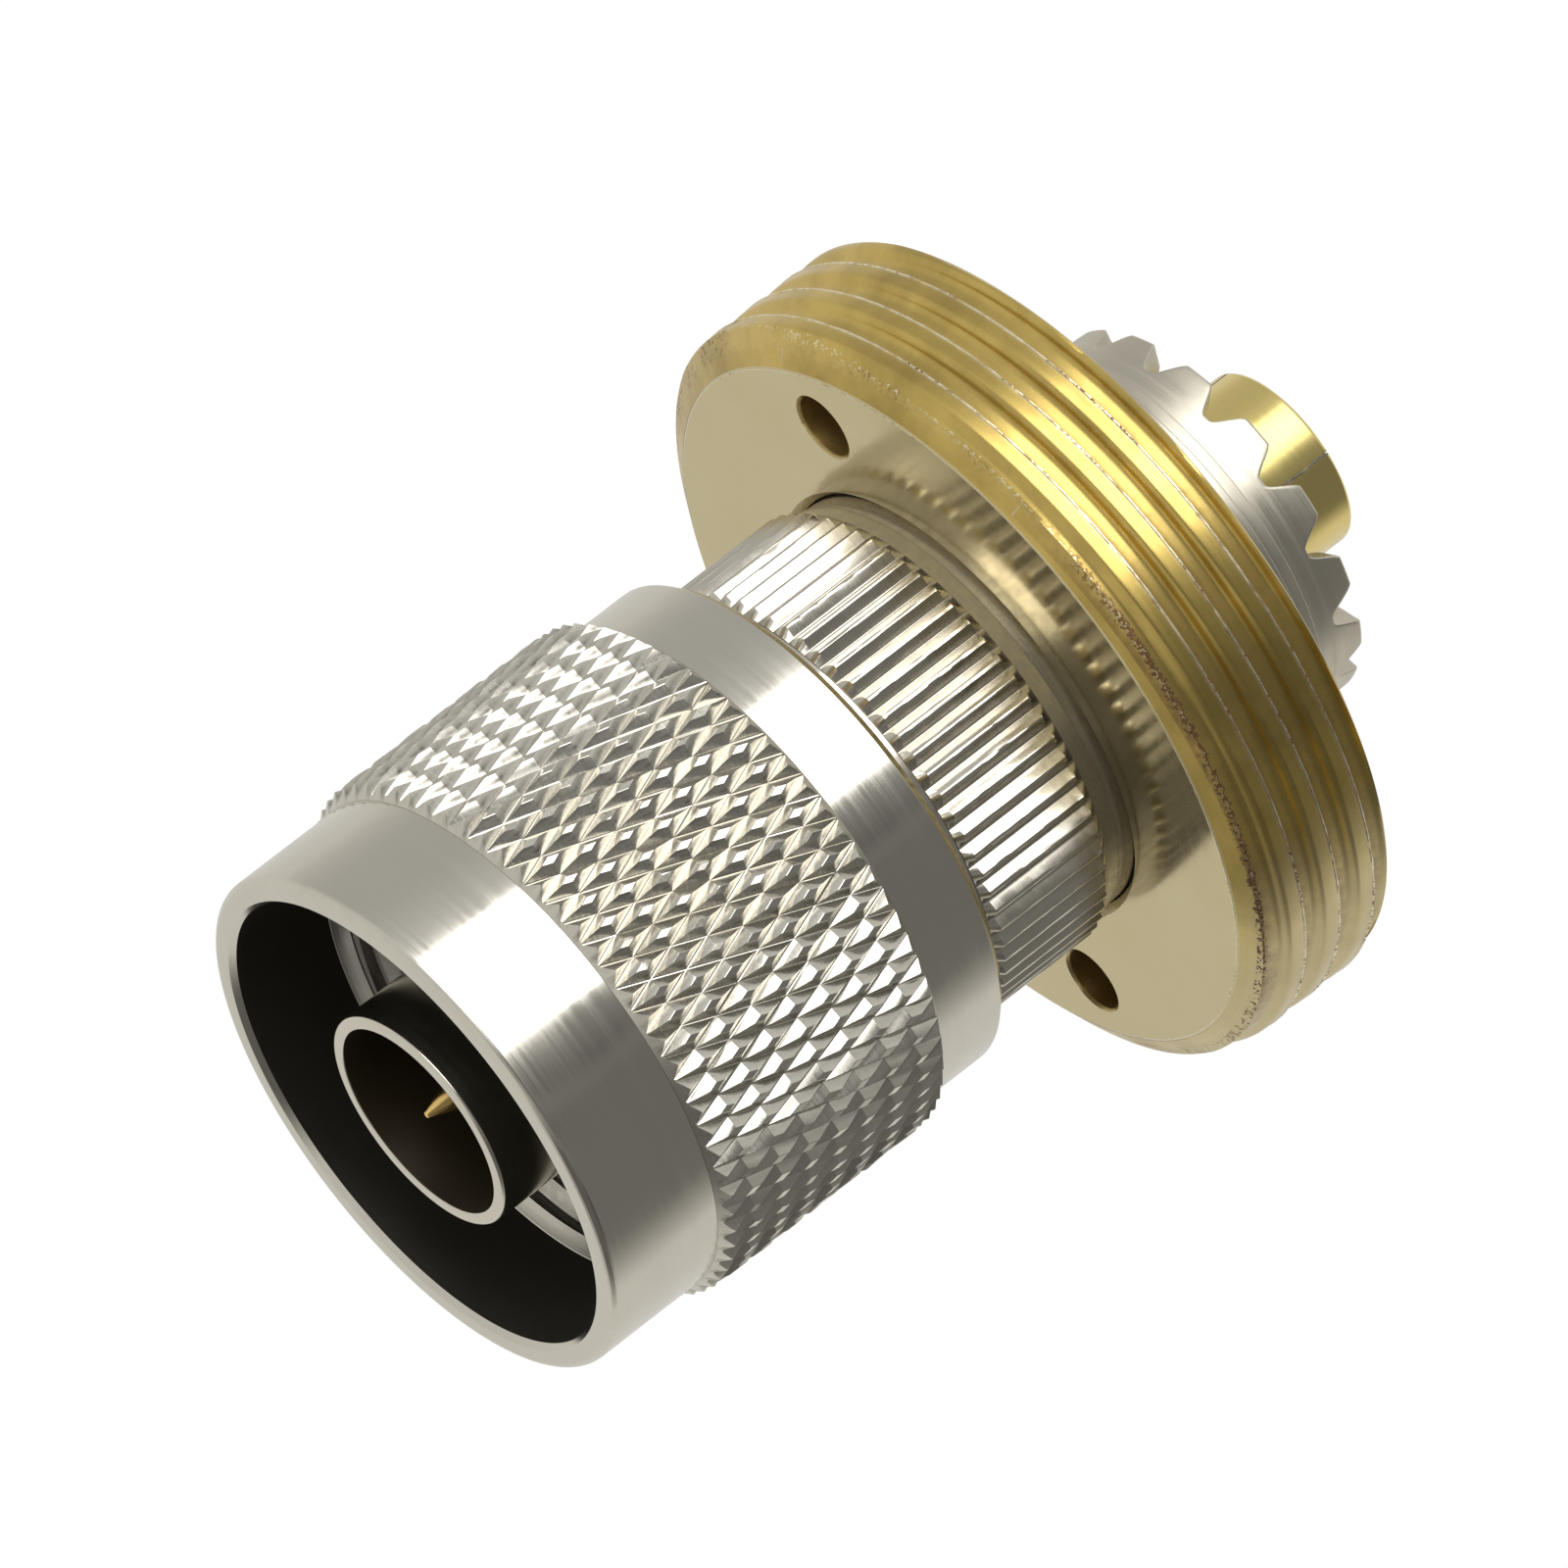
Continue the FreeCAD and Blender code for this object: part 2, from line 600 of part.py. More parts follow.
def write_parts(pieces):
    """Checks every object and shape, then writes one file for each piece."""
    doc.recompute()
    failed = [item.Name for item in doc.Objects if {"Invalid", "Error"} & set(item.State)]
    if failed:
        raise RuntimeError("failed objects: " + ", ".join(failed))
    os.makedirs("parts", exist_ok=True)
    for piece in pieces:
        shape = piece.Shape
        if shape.isNull() or not shape.isValid() or len(shape.Solids) != 1:
            raise RuntimeError("bad shape: " + piece.Label)
        shape.exportStep("parts/%s.step" % piece.Label)
        print("%-16s %9.2f mm3" % (piece.Label, shape.Volume))


write_parts([
    make_threaded_ring(),
    make_plug_body(),
    make_snap_ring(),
    make_gasket(),
    make_coupling_nut(),
    make_rear_body(),
    make_contact_sleeve(),
    *make_inner_pieces(),
])
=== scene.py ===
import math

import bpy
import numpy as np
from mathutils import Matrix, Vector


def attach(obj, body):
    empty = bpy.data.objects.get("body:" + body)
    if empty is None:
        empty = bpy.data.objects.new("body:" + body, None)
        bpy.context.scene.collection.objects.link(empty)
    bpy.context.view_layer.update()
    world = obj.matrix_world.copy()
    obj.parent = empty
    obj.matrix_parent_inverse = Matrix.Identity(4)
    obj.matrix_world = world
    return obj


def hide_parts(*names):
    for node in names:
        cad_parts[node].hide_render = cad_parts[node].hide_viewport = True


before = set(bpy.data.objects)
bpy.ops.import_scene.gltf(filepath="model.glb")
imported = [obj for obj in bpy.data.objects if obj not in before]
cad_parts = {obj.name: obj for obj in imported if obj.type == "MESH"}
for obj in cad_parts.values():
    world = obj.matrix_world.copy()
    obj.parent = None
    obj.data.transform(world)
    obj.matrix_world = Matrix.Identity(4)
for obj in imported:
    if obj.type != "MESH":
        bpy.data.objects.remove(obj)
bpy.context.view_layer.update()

MM = 0.001
TURN = 2 * math.pi

# Sizes in millimetres. Heights run up the axis from the ring's front face.
RING_FRONT, RING_REAR = 0.0, -5.7
RING_FACE_R, RING_LEAD_R, RING_LEAD_DEPTH = 13.0, 13.65, 0.4
RING_BORE_R, RING_BORE_BEVEL = 8.0, 0.28
THREAD_CREST_R, THREAD_ROOT_R, THREAD_PITCH = 14.21, 13.74, 1.5
FIRST_CREST_NEAR = -1.45
SPANNER_R, SPANNER_HOLE_R, SPANNER_DEPTH, SPANNER_POINT = 10.95, 1.15, 3.6, 0.6
SPANNER_BEARINGS = math.radians(332), math.radians(332 + 180)
# The bearing where the ring's lead has the most dirt and painted shade.
DIRT_AND_SHADE_BEARING = math.radians(228)
# The bearing towards which the ring's gilt fades, as painted light.
PAINTED_LIGHT_BEARING = math.radians(190)

COLLAR_R, RIDGES, RIDGE_DEPTH = 8.4, 68, 0.3
COLLAR_FRONT, COLLAR_BAND = 6.0, 1.0
FERRULE_R, FERRULE_BORE_R, FERRULE_FRONT, SHANK_R = 4.03, 3.54, 23.44, 7.0

NUT_REAR, NUT_FRONT = 6.6, 23.7
KNURL_REAR, KNURL_FRONT = 9.5, 19.2
KNURL_TIP_R, KNURL_VALLEY_R = 9.93, 9.61
KNURL_STARTS, KNURL_ROWS = 68, 8
NUT_FRONT_R, NUT_REAR_R, NUT_BORE_R, NUT_MOUTH_R = 9.47, 9.33, 7.08, 8.5
NUT_THREAD_MAJOR, NUT_THREAD_MINOR, NUT_THREAD_PITCH = 7.94, 7.42, 1.058
NUT_THREAD_REAR, NUT_THREAD_FRONT = 14.95, 19.3

CROWN_R, CROWN_BORE_R, CROWN_ROOT, CROWN_TIP = 7.08, 6.0, -9.2, -11.17
CROWN_TEETH, NOTCH_DEPTH, CROWN_ANGLE = 16, 1.0, 268.0
SLEEVE_R, SLEEVE_BORE_R, SLEEVE_END, SLEEVE_FLOOR = 3.3, 2.9, -14.3, -7.5
SLOT_WIDTH, SLOT_LENGTH, SLOT_COUNT, SLOT_ANGLE = 0.085, 5.6, 4, 256.5

# A groove mark this high gives full painted shade through all the specks.
FULL_SHADE_MARK = 3.0


# Mesh building

def soften(corners, steps=5):
    """A closed outline of (radius, height, rounding) corners, with every rounded corner as an arc.
    Returns points as (radius, height, edge), where edge is 1 in the middle of an arc."""
    points = []
    count = len(corners)
    for index, (r, z, rounding) in enumerate(corners):
        here = np.array([r, z])
        before = np.array(corners[index - 1][:2]) - here
        after = np.array(corners[(index + 1) % count][:2]) - here
        before_length, after_length = np.linalg.norm(before), np.linalg.norm(after)
        before, after = before / before_length, after / after_length
        angle = math.acos(max(-1.0, min(1.0, float(before @ after))))
        if rounding <= 0 or angle > math.radians(175):
            points.append((r, z, 0.0))
            continue
        reach = min(rounding / math.tan(angle / 2), 0.45 * before_length, 0.45 * after_length)
        radius = reach * math.tan(angle / 2)
        middle = before + after
        centre = here + middle / np.linalg.norm(middle) * radius / math.sin(angle / 2)
        start, end = here + before * reach - centre, here + after * reach - centre
        first = math.atan2(start[1], start[0])
        sweep = math.atan2(end[1], end[0]) - first
        sweep = (sweep + math.pi) % TURN - math.pi
        for step in range(steps + 1):
            bearing = first + sweep * step / steps
            edge = math.sin(math.pi * step / steps)
            points.append((centre[0] + radius * math.cos(bearing),
                           centre[1] + radius * math.sin(bearing), edge))
    return points


def densify(points, low, high, spacing):
    """Adds points along the sides of a closed outline whose heights lie between low and high."""
    dense = []
    for start, end in zip(points, points[1:] + points[:1]):
        dense.append(start)
        inside = low - 1e-6 <= min(start[1], end[1]) and max(start[1], end[1]) <= high + 1e-6
        length = math.hypot(end[0] - start[0], end[1] - start[1])
        pieces = int(length / spacing) if inside else 1
        for step in range(1, pieces):
            share = step / pieces
            dense.append(tuple(start[k] + (end[k] - start[k]) * share for k in range(2)) + (0.0,))
    return dense


def make_mesh(name, verts, faces, attributes, body, nodes, material, sharp=35.0):
    """A smooth-shaded mesh object that stands for CAD nodes, with point attributes for its material."""
    mesh = bpy.data.meshes.new(name)
    mesh.from_pydata((np.asarray(verts) * MM).tolist(), [], [tuple(face) for face in faces])
    for label, values in attributes.items():
        layer = mesh.attributes.new(label, "FLOAT", "POINT")
        layer.data.foreach_set("value", np.asarray(values, dtype=np.float32))
    mesh.polygons.foreach_set("use_smooth", [True] * len(mesh.polygons))
    mesh.update()
    mesh.validate()
    mesh.set_sharp_from_angle(angle=math.radians(sharp))
    piece = bpy.data.objects.new(name, mesh)
    bpy.context.scene.collection.objects.link(piece)
    mesh.materials.append(material)
    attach(piece, body)
    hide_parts(*nodes)
    return piece


def grid_faces(rows, columns, closed):
    """Quads of a grid of rows by columns, numbered row by row, open or closed both ways."""
    row_ids = np.arange(rows if closed else rows - 1)
    column_ids = np.arange(columns if closed else columns - 1)
    row, column = np.meshgrid(row_ids, column_ids, indexing="ij")
    row_next, column_next = (row + 1) % rows, (column + 1) % columns
    quads = np.stack([row * columns + column, row * columns + column_next,
                      row_next * columns + column_next, row_next * columns + column], axis=-1)
    return quads.reshape(-1, 4).tolist()


def lathe(outline, stations, radius_rule=None, height_rule=None):
    """Turns a closed outline about the axis. Returns vertices, faces and the edge attribute.
    The rules take arrays of radius, height and angle and return a new radius or height."""
    profile = np.array(outline)
    angles = np.asarray(stations)
    radius = np.repeat(profile[:, 0:1], len(angles), axis=1)
    height = np.repeat(profile[:, 1:2], len(angles), axis=1)
    turn = np.repeat(angles[None, :], len(profile), axis=0)
    if height_rule:
        height = height_rule(radius, height, turn)
    if radius_rule:
        radius = radius_rule(radius, height, turn)
    verts = np.stack([radius * np.cos(turn), radius * np.sin(turn), height], axis=-1).reshape(-1, 3)
    faces = [face[::-1] for face in grid_faces(len(profile), len(angles), closed=True)]
    edge = np.repeat(profile[:, 2:3], len(angles), axis=1).reshape(-1)
    return verts, faces, edge


def even_stations(count):
    """Equal steps round the axis."""
    return np.arange(count) * TURN / count


def joined(*parts):
    """Several (vertices, faces, attributes) sets as one."""
    verts, faces, attributes = [], [], {}
    offset = 0
    for part_verts, part_faces, part_attributes in parts:
        verts.append(part_verts)
        faces += [[index + offset for index in face] for face in part_faces]
        offset += len(part_verts)
        for label, values in part_attributes.items():
            attributes.setdefault(label, []).append(np.asarray(values, dtype=float))
    return (np.concatenate(verts), faces,
            {label: np.concatenate(values) for label, values in attributes.items()})


def smoothstep(value, low, high):
    """Goes from 0 to 1 between low and high, level at both ends."""
    share = np.clip((value - low) / (high - low), 0, 1)
    return share * share * (3 - 2 * share)


def cut(piece, tools, operation="DIFFERENCE"):
    """Cuts a piece with closed tool meshes, and keeps the result."""
    for tool in tools:
        change = piece.modifiers.new("cut", "BOOLEAN")
        change.operation = operation
        change.solver = "EXACT"
        change.object = tool
    depsgraph = bpy.context.evaluated_depsgraph_get()
    result = bpy.data.meshes.new_from_object(piece.evaluated_get(depsgraph), depsgraph=depsgraph)
    piece.modifiers.clear()
    piece.data = result
    for tool in tools:
        bpy.data.objects.remove(tool)


def mesh_points(mesh):
    """The vertices of a mesh in millimetres."""
    points = np.zeros(len(mesh.vertices) * 3)
    mesh.vertices.foreach_get("co", points)
    return points.reshape(-1, 3) / MM


def tool_object(verts, faces):
    """A bare object for cutting, from points in millimetres."""
    mesh = bpy.data.meshes.new("tool")
    mesh.from_pydata((np.asarray(verts) * MM).tolist(), [], faces)
    tool = bpy.data.objects.new("tool", mesh)
    bpy.context.scene.collection.objects.link(tool)
    return tool


# Materials

# Scales of the noises, per metre.
FINE_LINES, COARSE_LINES = 9000.0, 1500.0
BLOTCHES, SPECKS, GRIT = 260.0, 2600.0, 6500.0


class Nodes:
    """Short calls for building a node tree."""

    def __init__(self, tree):
        self.tree = tree
        tree.nodes.clear()

    def add(self, kind, **settings):
        node = self.tree.nodes.new(kind)
        for key, value in settings.items():
            setattr(node, key, value)
        return node

    def link(self, source, target):
        self.tree.links.new(source, target)

    def feed(self, socket, value):
        if isinstance(value, bpy.types.NodeSocket):
            self.link(value, socket)
        else:
            socket.default_value = value

    def math(self, operation, *values, clamp=False):
        node = self.add("ShaderNodeMath", operation=operation, use_clamp=clamp)
        for index, value in enumerate(values):
            self.feed(node.inputs[index], value)
        return node.outputs[0]

    def mix(self, share, first, second):
        node = self.add("ShaderNodeMix", data_type="RGBA")
        self.feed(node.inputs["Factor"], share)
        self.feed(node.inputs["A"], first)
        self.feed(node.inputs["B"], second)
        return node.outputs["Result"]

    def scale(self, value, low, high, to_low, to_high):
        node = self.add("ShaderNodeMapRange")
        for socket, item in zip(node.inputs, (value, low, high, to_low, to_high)):
            self.feed(socket, item)
        return node.outputs[0]

    def noise(self, vector, scale, detail=4.0, roughness=0.55):
        node = self.add("ShaderNodeTexNoise")
        self.link(vector, node.inputs["Vector"])
        node.inputs["Scale"].default_value = scale
        node.inputs["Detail"].default_value = detail
        node.inputs["Roughness"].default_value = roughness
        return node.outputs["Fac"]

    def attribute(self, name):
        return self.add("ShaderNodeAttribute", attribute_name=name).outputs["Fac"]


def colour(red, green, blue):
    return (red, green, blue, 1.0)


def metal(name, base, deep, roughness, lines=0.35, smudge=0.1, edge_light=0.25, bump=0.12,
          dirt_and_shade_tone=(0.03, 0.022, 0.014), gilt=None, pale=None, radial=1.0):
    """Turned and plated metal: fine lathe lines round the axis, faint smudges, edges lighter from
    wear and a painted glint, and grime with painted shade where the mesh marks a groove. Radial
    is how fine the lines are on faces across the axis. Gilt is the gold tone of the ring's
    outside, faded towards one side as painted light, and pale the tone of the edges' wear and glint."""
    material = bpy.data.materials.new(name)
    material.use_nodes = True
    n = Nodes(material.node_tree)
    shader = n.add("ShaderNodeBsdfPrincipled")
    output = n.add("ShaderNodeOutputMaterial")
    n.link(shader.outputs[0], output.inputs["Surface"])
    place = n.add("ShaderNodeTexCoord").outputs["Object"]
    split = n.add("ShaderNodeSeparateXYZ")
    n.link(place, split.inputs[0])
    across = n.math("SQRT", n.math("ADD", n.math("POWER", split.outputs[0], 2.0),
                                   n.math("POWER", split.outputs[1], 2.0)))
    rings = n.add("ShaderNodeCombineXYZ")
    n.link(n.math("MULTIPLY", across, radial), rings.inputs[0])
    n.link(split.outputs[2], rings.inputs[1])
    fine = n.noise(rings.outputs[0], FINE_LINES, 3.0, 0.7)
    coarse = n.noise(rings.outputs[0], COARSE_LINES, 2.0, 0.5)
    blotch = n.noise(place, BLOTCHES, 5.0, 0.6)
    speck = n.noise(place, SPECKS, 3.0, 0.6)
    grit = n.noise(place, GRIT, 2.0, 0.6)
    turned = n.math("ADD", n.math("MULTIPLY", fine, 0.6), n.math("MULTIPLY", coarse, 0.4))

    edge = n.attribute("edge")
    groove = n.attribute("groove")
    # Edges lighten towards the pale tone: wear, and a painted glint along the marked edges.
    wear_and_glint = n.math("MULTIPLY", edge, n.scale(speck, 0.35, 0.6, 0.4, 1.0))
    shade = n.mix(n.scale(blotch, 0.35, 0.7, 0.0, 0.25), colour(*base), colour(*deep))
    if gilt:
        dull = colour(*[c * 0.6 for c in gilt])
        uneven = n.mix(n.scale(blotch, 0.4, 0.64, 0.0, 0.8), colour(*gilt), dull)
        # Painted light: the gilt fades away towards one side of the ring, where pale light falls.
        gilt_light_fade = facing(n, split.outputs, PAINTED_LIGHT_BEARING, 0.85, 1.02, 1.0, 0.2)
        shade = n.mix(n.math("MULTIPLY", n.attribute("gilt"), gilt_light_fade), shade, uneven)
    pale = pale or [min(1.0, c * 1.25) for c in base]
    shade = n.mix(n.math("MULTIPLY", wear_and_glint, edge_light), shade, colour(*pale))
    # Groove marks darken towards the dark tone: painted shade in hollows, bores and between parts, with
    # some real dirt.
    dirt_and_shade = n.math("MULTIPLY", groove, n.scale(speck, 0.3, 0.65, 0.35, 1.0), clamp=True)
    if gilt:
        dirt_and_shade_side, lead_dirt_and_shade, burr_glints = lead_marks(n, split.outputs, across, blotch, grit)
        # Dark specks along the marked edges: dirt and painted dark reflections.
        patches = n.scale(blotch, 0.5, 0.6, 0.2, 1.0)
        spots = n.math("MULTIPLY", patches, n.scale(grit, 0.5, 0.56, 0.0, 1.0))
        lead_dirt_and_shade = n.math("MAXIMUM", lead_dirt_and_shade, n.math("MULTIPLY", edge, spots))
        inside = n.scale(across, (RING_FACE_R - 0.1) * MM, RING_FACE_R * MM, 1.0, 0.0)
        outside = n.math("ADD", 0.1, n.math("MULTIPLY", dirt_and_shade_side, 0.45))
        dirt_and_shade = n.math("MULTIPLY", dirt_and_shade, n.math("MAXIMUM", inside, outside), clamp=True)
        dirt_and_shade = n.math("MAXIMUM", dirt_and_shade, lead_dirt_and_shade)
        # Painted glints on the burrs along the lead's edge.
        shade = n.mix(burr_glints, shade, colour(*pale))
    shade = n.mix(dirt_and_shade, shade, colour(*dirt_and_shade_tone))
    n.link(shade, shader.inputs["Base Color"])
    rough = n.scale(turned, 0.3, 0.7, roughness * (1 - lines), roughness * (1 + lines))
    rough = n.math("ADD", rough, n.scale(blotch, 0.3, 0.7, -smudge * 0.5, smudge * 0.5))
    rough = n.math("ADD", rough, n.math("MULTIPLY", dirt_and_shade, 0.25), clamp=True)
    if gilt:
        rough = n.math("ADD", rough, n.math("MULTIPLY", n.attribute("gilt"), 0.1))
    n.link(rough, shader.inputs["Roughness"])
    n.link(n.math("SUBTRACT", 1.0, n.math("MULTIPLY", dirt_and_shade, 0.6)), shader.inputs["Metallic"])

    relief = n.add("ShaderNodeBump")
    relief.inputs["Strength"].default_value = bump
    relief.inputs["Distance"].default_value = 0.01 * MM
    n.link(n.math("ADD", turned, n.math("MULTIPLY", speck, 0.35)), relief.inputs["Height"])
    n.link(relief.outputs[0], shader.inputs["Normal"])
    return material


def facing(n, place, bearing, near, full, low, high):
    """Goes from low to high towards the side of the ring that lies at a bearing."""
    side = n.math("ADD", n.math("MULTIPLY", place[0], math.cos(bearing)),
                  n.math("MULTIPLY", place[1], math.sin(bearing)))
    return n.scale(side, near * RING_FACE_R * MM, full * RING_FACE_R * MM, low, high)


def lead_marks(n, place, across, blotch, grit):
    """Where the ring has the most grime and painted shade, that grime and shade along the edge of its
    lead, and the painted glints of burrs there. Past is how far, in millimetres, a point lies
    inside the cone of the lead."""
    slope = (RING_LEAD_R - RING_FACE_R) / RING_LEAD_DEPTH
    band_middle, band_half, burr_half = 0.1, 0.07, 0.04
    lead = n.math("SUBTRACT", RING_FACE_R * MM, n.math("MULTIPLY", place[2], slope))
    past = n.math("DIVIDE", n.math("SUBTRACT", lead, across), MM)
    past = n.math("ADD", past, n.scale(grit, 0.35, 0.65, -0.1, 0.1))
    off_middle = n.math("ABSOLUTE", n.math("SUBTRACT", past, band_middle))
    band = n.math("SUBTRACT", 1.5, n.math("DIVIDE", off_middle, band_half), clamp=True)
    # Dirt and painted shade are heaviest on one side of the ring.
    dirt_and_shade_side = facing(n, place, DIRT_AND_SHADE_BEARING, 0.5, 0.9, 0.0, 1.0)
    edge_r = RING_LEAD_R - 0.05
    outside = n.scale(across, (edge_r - 0.05) * MM, edge_r * MM, 0.0, 1.0)
    patches = n.math("MULTIPLY", n.scale(blotch, 0.48, 0.6, 0.0, 0.6), n.scale(grit, 0.5, 0.6, 0.0, 1.0))
    lead_dirt_and_shade = n.math("MULTIPLY", n.math("MULTIPLY", band, outside), n.math("MAXIMUM", dirt_and_shade_side, patches))
    edge = n.scale(across, (edge_r - 0.03) * MM, edge_r * MM, 0.0, 1.0)
    burr = n.math("SUBTRACT", 1.0, n.math("DIVIDE", n.math("ABSOLUTE", past), burr_half), clamp=True)
    # Painted glints on the burrs at the lead's outer edge.
    burr_glints = n.math("MULTIPLY", n.math("MULTIPLY", burr, edge), n.scale(grit, 0.42, 0.48, 0.9, 0.1))
    return dirt_and_shade_side, lead_dirt_and_shade, burr_glints


def plain_solid(name, base, deep, roughness, scale, bump=0.2, clear=0.0):
    """A plastic or rubber with a fine grain and slow changes of tone."""
    material = bpy.data.materials.new(name)
    material.use_nodes = True
    n = Nodes(material.node_tree)
    shader = n.add("ShaderNodeBsdfPrincipled")
    output = n.add("ShaderNodeOutputMaterial")
    n.link(shader.outputs[0], output.inputs["Surface"])
    place = n.add("ShaderNodeTexCoord").outputs["Object"]
    slow = n.noise(place, scale * 0.15, 4.0)
    grain = n.noise(place, scale, 4.0, 0.65)
    n.link(n.mix(n.scale(slow, 0.35, 0.65, 0.0, 1.0), colour(*base), colour(*deep)),
           shader.inputs["Base Color"])
    n.link(n.scale(grain, 0.3, 0.7, roughness * 0.8, roughness * 1.2), shader.inputs["Roughness"])
    shader.inputs["Subsurface Weight"].default_value = clear
    shader.inputs["Subsurface Radius"].default_value = (MM, MM, MM)
    relief = n.add("ShaderNodeBump")
    relief.inputs["Strength"].default_value = bump
    relief.inputs["Distance"].default_value = 0.02 * MM
    n.link(grain, relief.inputs["Height"])
    n.link(relief.outputs[0], shader.inputs["Normal"])
    return material


nickel_nut = metal("nickel_nut", (0.68, 0.65, 0.57), (0.56, 0.53, 0.46), 0.17, lines=0.45, bump=0.1,
                   radial=0.1, dirt_and_shade_tone=(0.035, 0.031, 0.024))
nickel_body = metal("nickel_body", (0.70, 0.66, 0.57), (0.57, 0.53, 0.44), 0.17, bump=0.08,
                    radial=0.1, dirt_and_shade_tone=(0.045, 0.035, 0.018))
nickel_rear = metal("nickel_rear", (0.62, 0.58, 0.48), (0.52, 0.48, 0.38), 0.36, smudge=0.15,
                    bump=0.05)
# The brass's pale edge tone, at near full strength, paints a bright glint along its thread's crest edges.
brass = metal("worn_brass", (0.64, 0.55, 0.32), (0.56, 0.46, 0.23), 0.16, dirt_and_shade_tone=(0.15, 0.07, 0.028),
              gilt=(0.68, 0.50, 0.15), edge_light=0.9, pale=(1.0, 0.94, 0.74))
gold = metal("gold_plate", (0.86, 0.70, 0.27), (0.78, 0.60, 0.20), 0.2)
pin_gold = metal("pin_gold", (0.95, 0.66, 0.24), (0.85, 0.55, 0.18), 0.16)
bronze = metal("spring_bronze", (0.60, 0.42, 0.26), (0.45, 0.30, 0.18), 0.35)
dielectric = plain_solid("white_dielectric", (0.86, 0.85, 0.82), (0.80, 0.79, 0.75), 0.45, 1800.0,
                         clear=0.2)
rubber = plain_solid("gasket_rubber", (0.035, 0.033, 0.03), (0.055, 0.05, 0.045), 0.55, 3000.0)


# Pieces

def thread_strip(crest_r, root_r, pitch, z_low, z_high, start, stations_per_turn, section, envelope,
                 seed, ragged):
    """One helical ridge. The section is a list of (share of depth, offset in pitches, edge).
    The envelope limits the radius by height, and heights are held between z_low and z_high.
    Ragged is the size of the nicks in the marked edges."""
    turns = int(math.ceil((z_high - z_low) / pitch)) + 2
    count = turns * stations_per_turn
    turn = np.arange(count + 1) * TURN / stations_per_turn
    rise = start - pitch + pitch * turn / TURN
    rows = len(section)
    verts = np.zeros((rows, count + 1, 3))
    edge = np.zeros((rows, count + 1))
    groove = np.zeros((rows, count + 1))
    random = np.random.default_rng(seed)
    nicks = random.normal(0, 1, (rows, count + 1))
    nicks = (nicks + np.roll(nicks, 1, axis=1) * 0.7) / 1.7
    sparse = (random.random((rows, count + 1)) > 0.95) * random.random((rows, count + 1))
    for row, (share, offset, mark) in enumerate(section):
        r = root_r + (crest_r - root_r) * share + ragged * mark * (0.3 * nicks[row] - 1.5 * sparse[row])
        z = rise + offset * pitch + ragged * mark * 0.6 * np.roll(nicks[row], 3)
        z = np.clip(z, z_low, z_high)
        held = envelope(r, z)
        verts[row] = np.stack([held * np.cos(turn), held * np.sin(turn), z], axis=-1)
        edge[row] = mark * (np.abs(held - r) < 0.02)
        # Darker towards the root: dirt and painted shade in the groove.
        groove[row] = max(0.0, 1 - share / 0.35)
    flat = verts.reshape(-1, 3)
    kept = []
    for face in grid_faces(rows, count + 1, closed=False):
        corners = flat[face]
        spread = np.linalg.norm(np.cross(corners[2] - corners[0], corners[3] - corners[1]))
        if spread > 1e-7:
            kept.append(face if crest_r > root_r else face[::-1])
    return flat, kept, {"edge": edge.reshape(-1), "groove": groove.reshape(-1)}


def ring_raggedness(radius, height, turn):
    """Fine burrs along the outer edge of the ring's lead."""
    random = np.random.default_rng(11)
    burr = random.normal(0, 1, radius.shape[1])
    burr = 0.01 * burr + 0.02 * burr * (random.random(radius.shape[1]) > 0.9)
    on_edge = (np.abs(height + RING_LEAD_DEPTH) < 0.06) & (radius > RING_LEAD_R - 0.12)
    return np.where(on_edge, radius + np.clip(burr, -0.06, 0.05), radius)


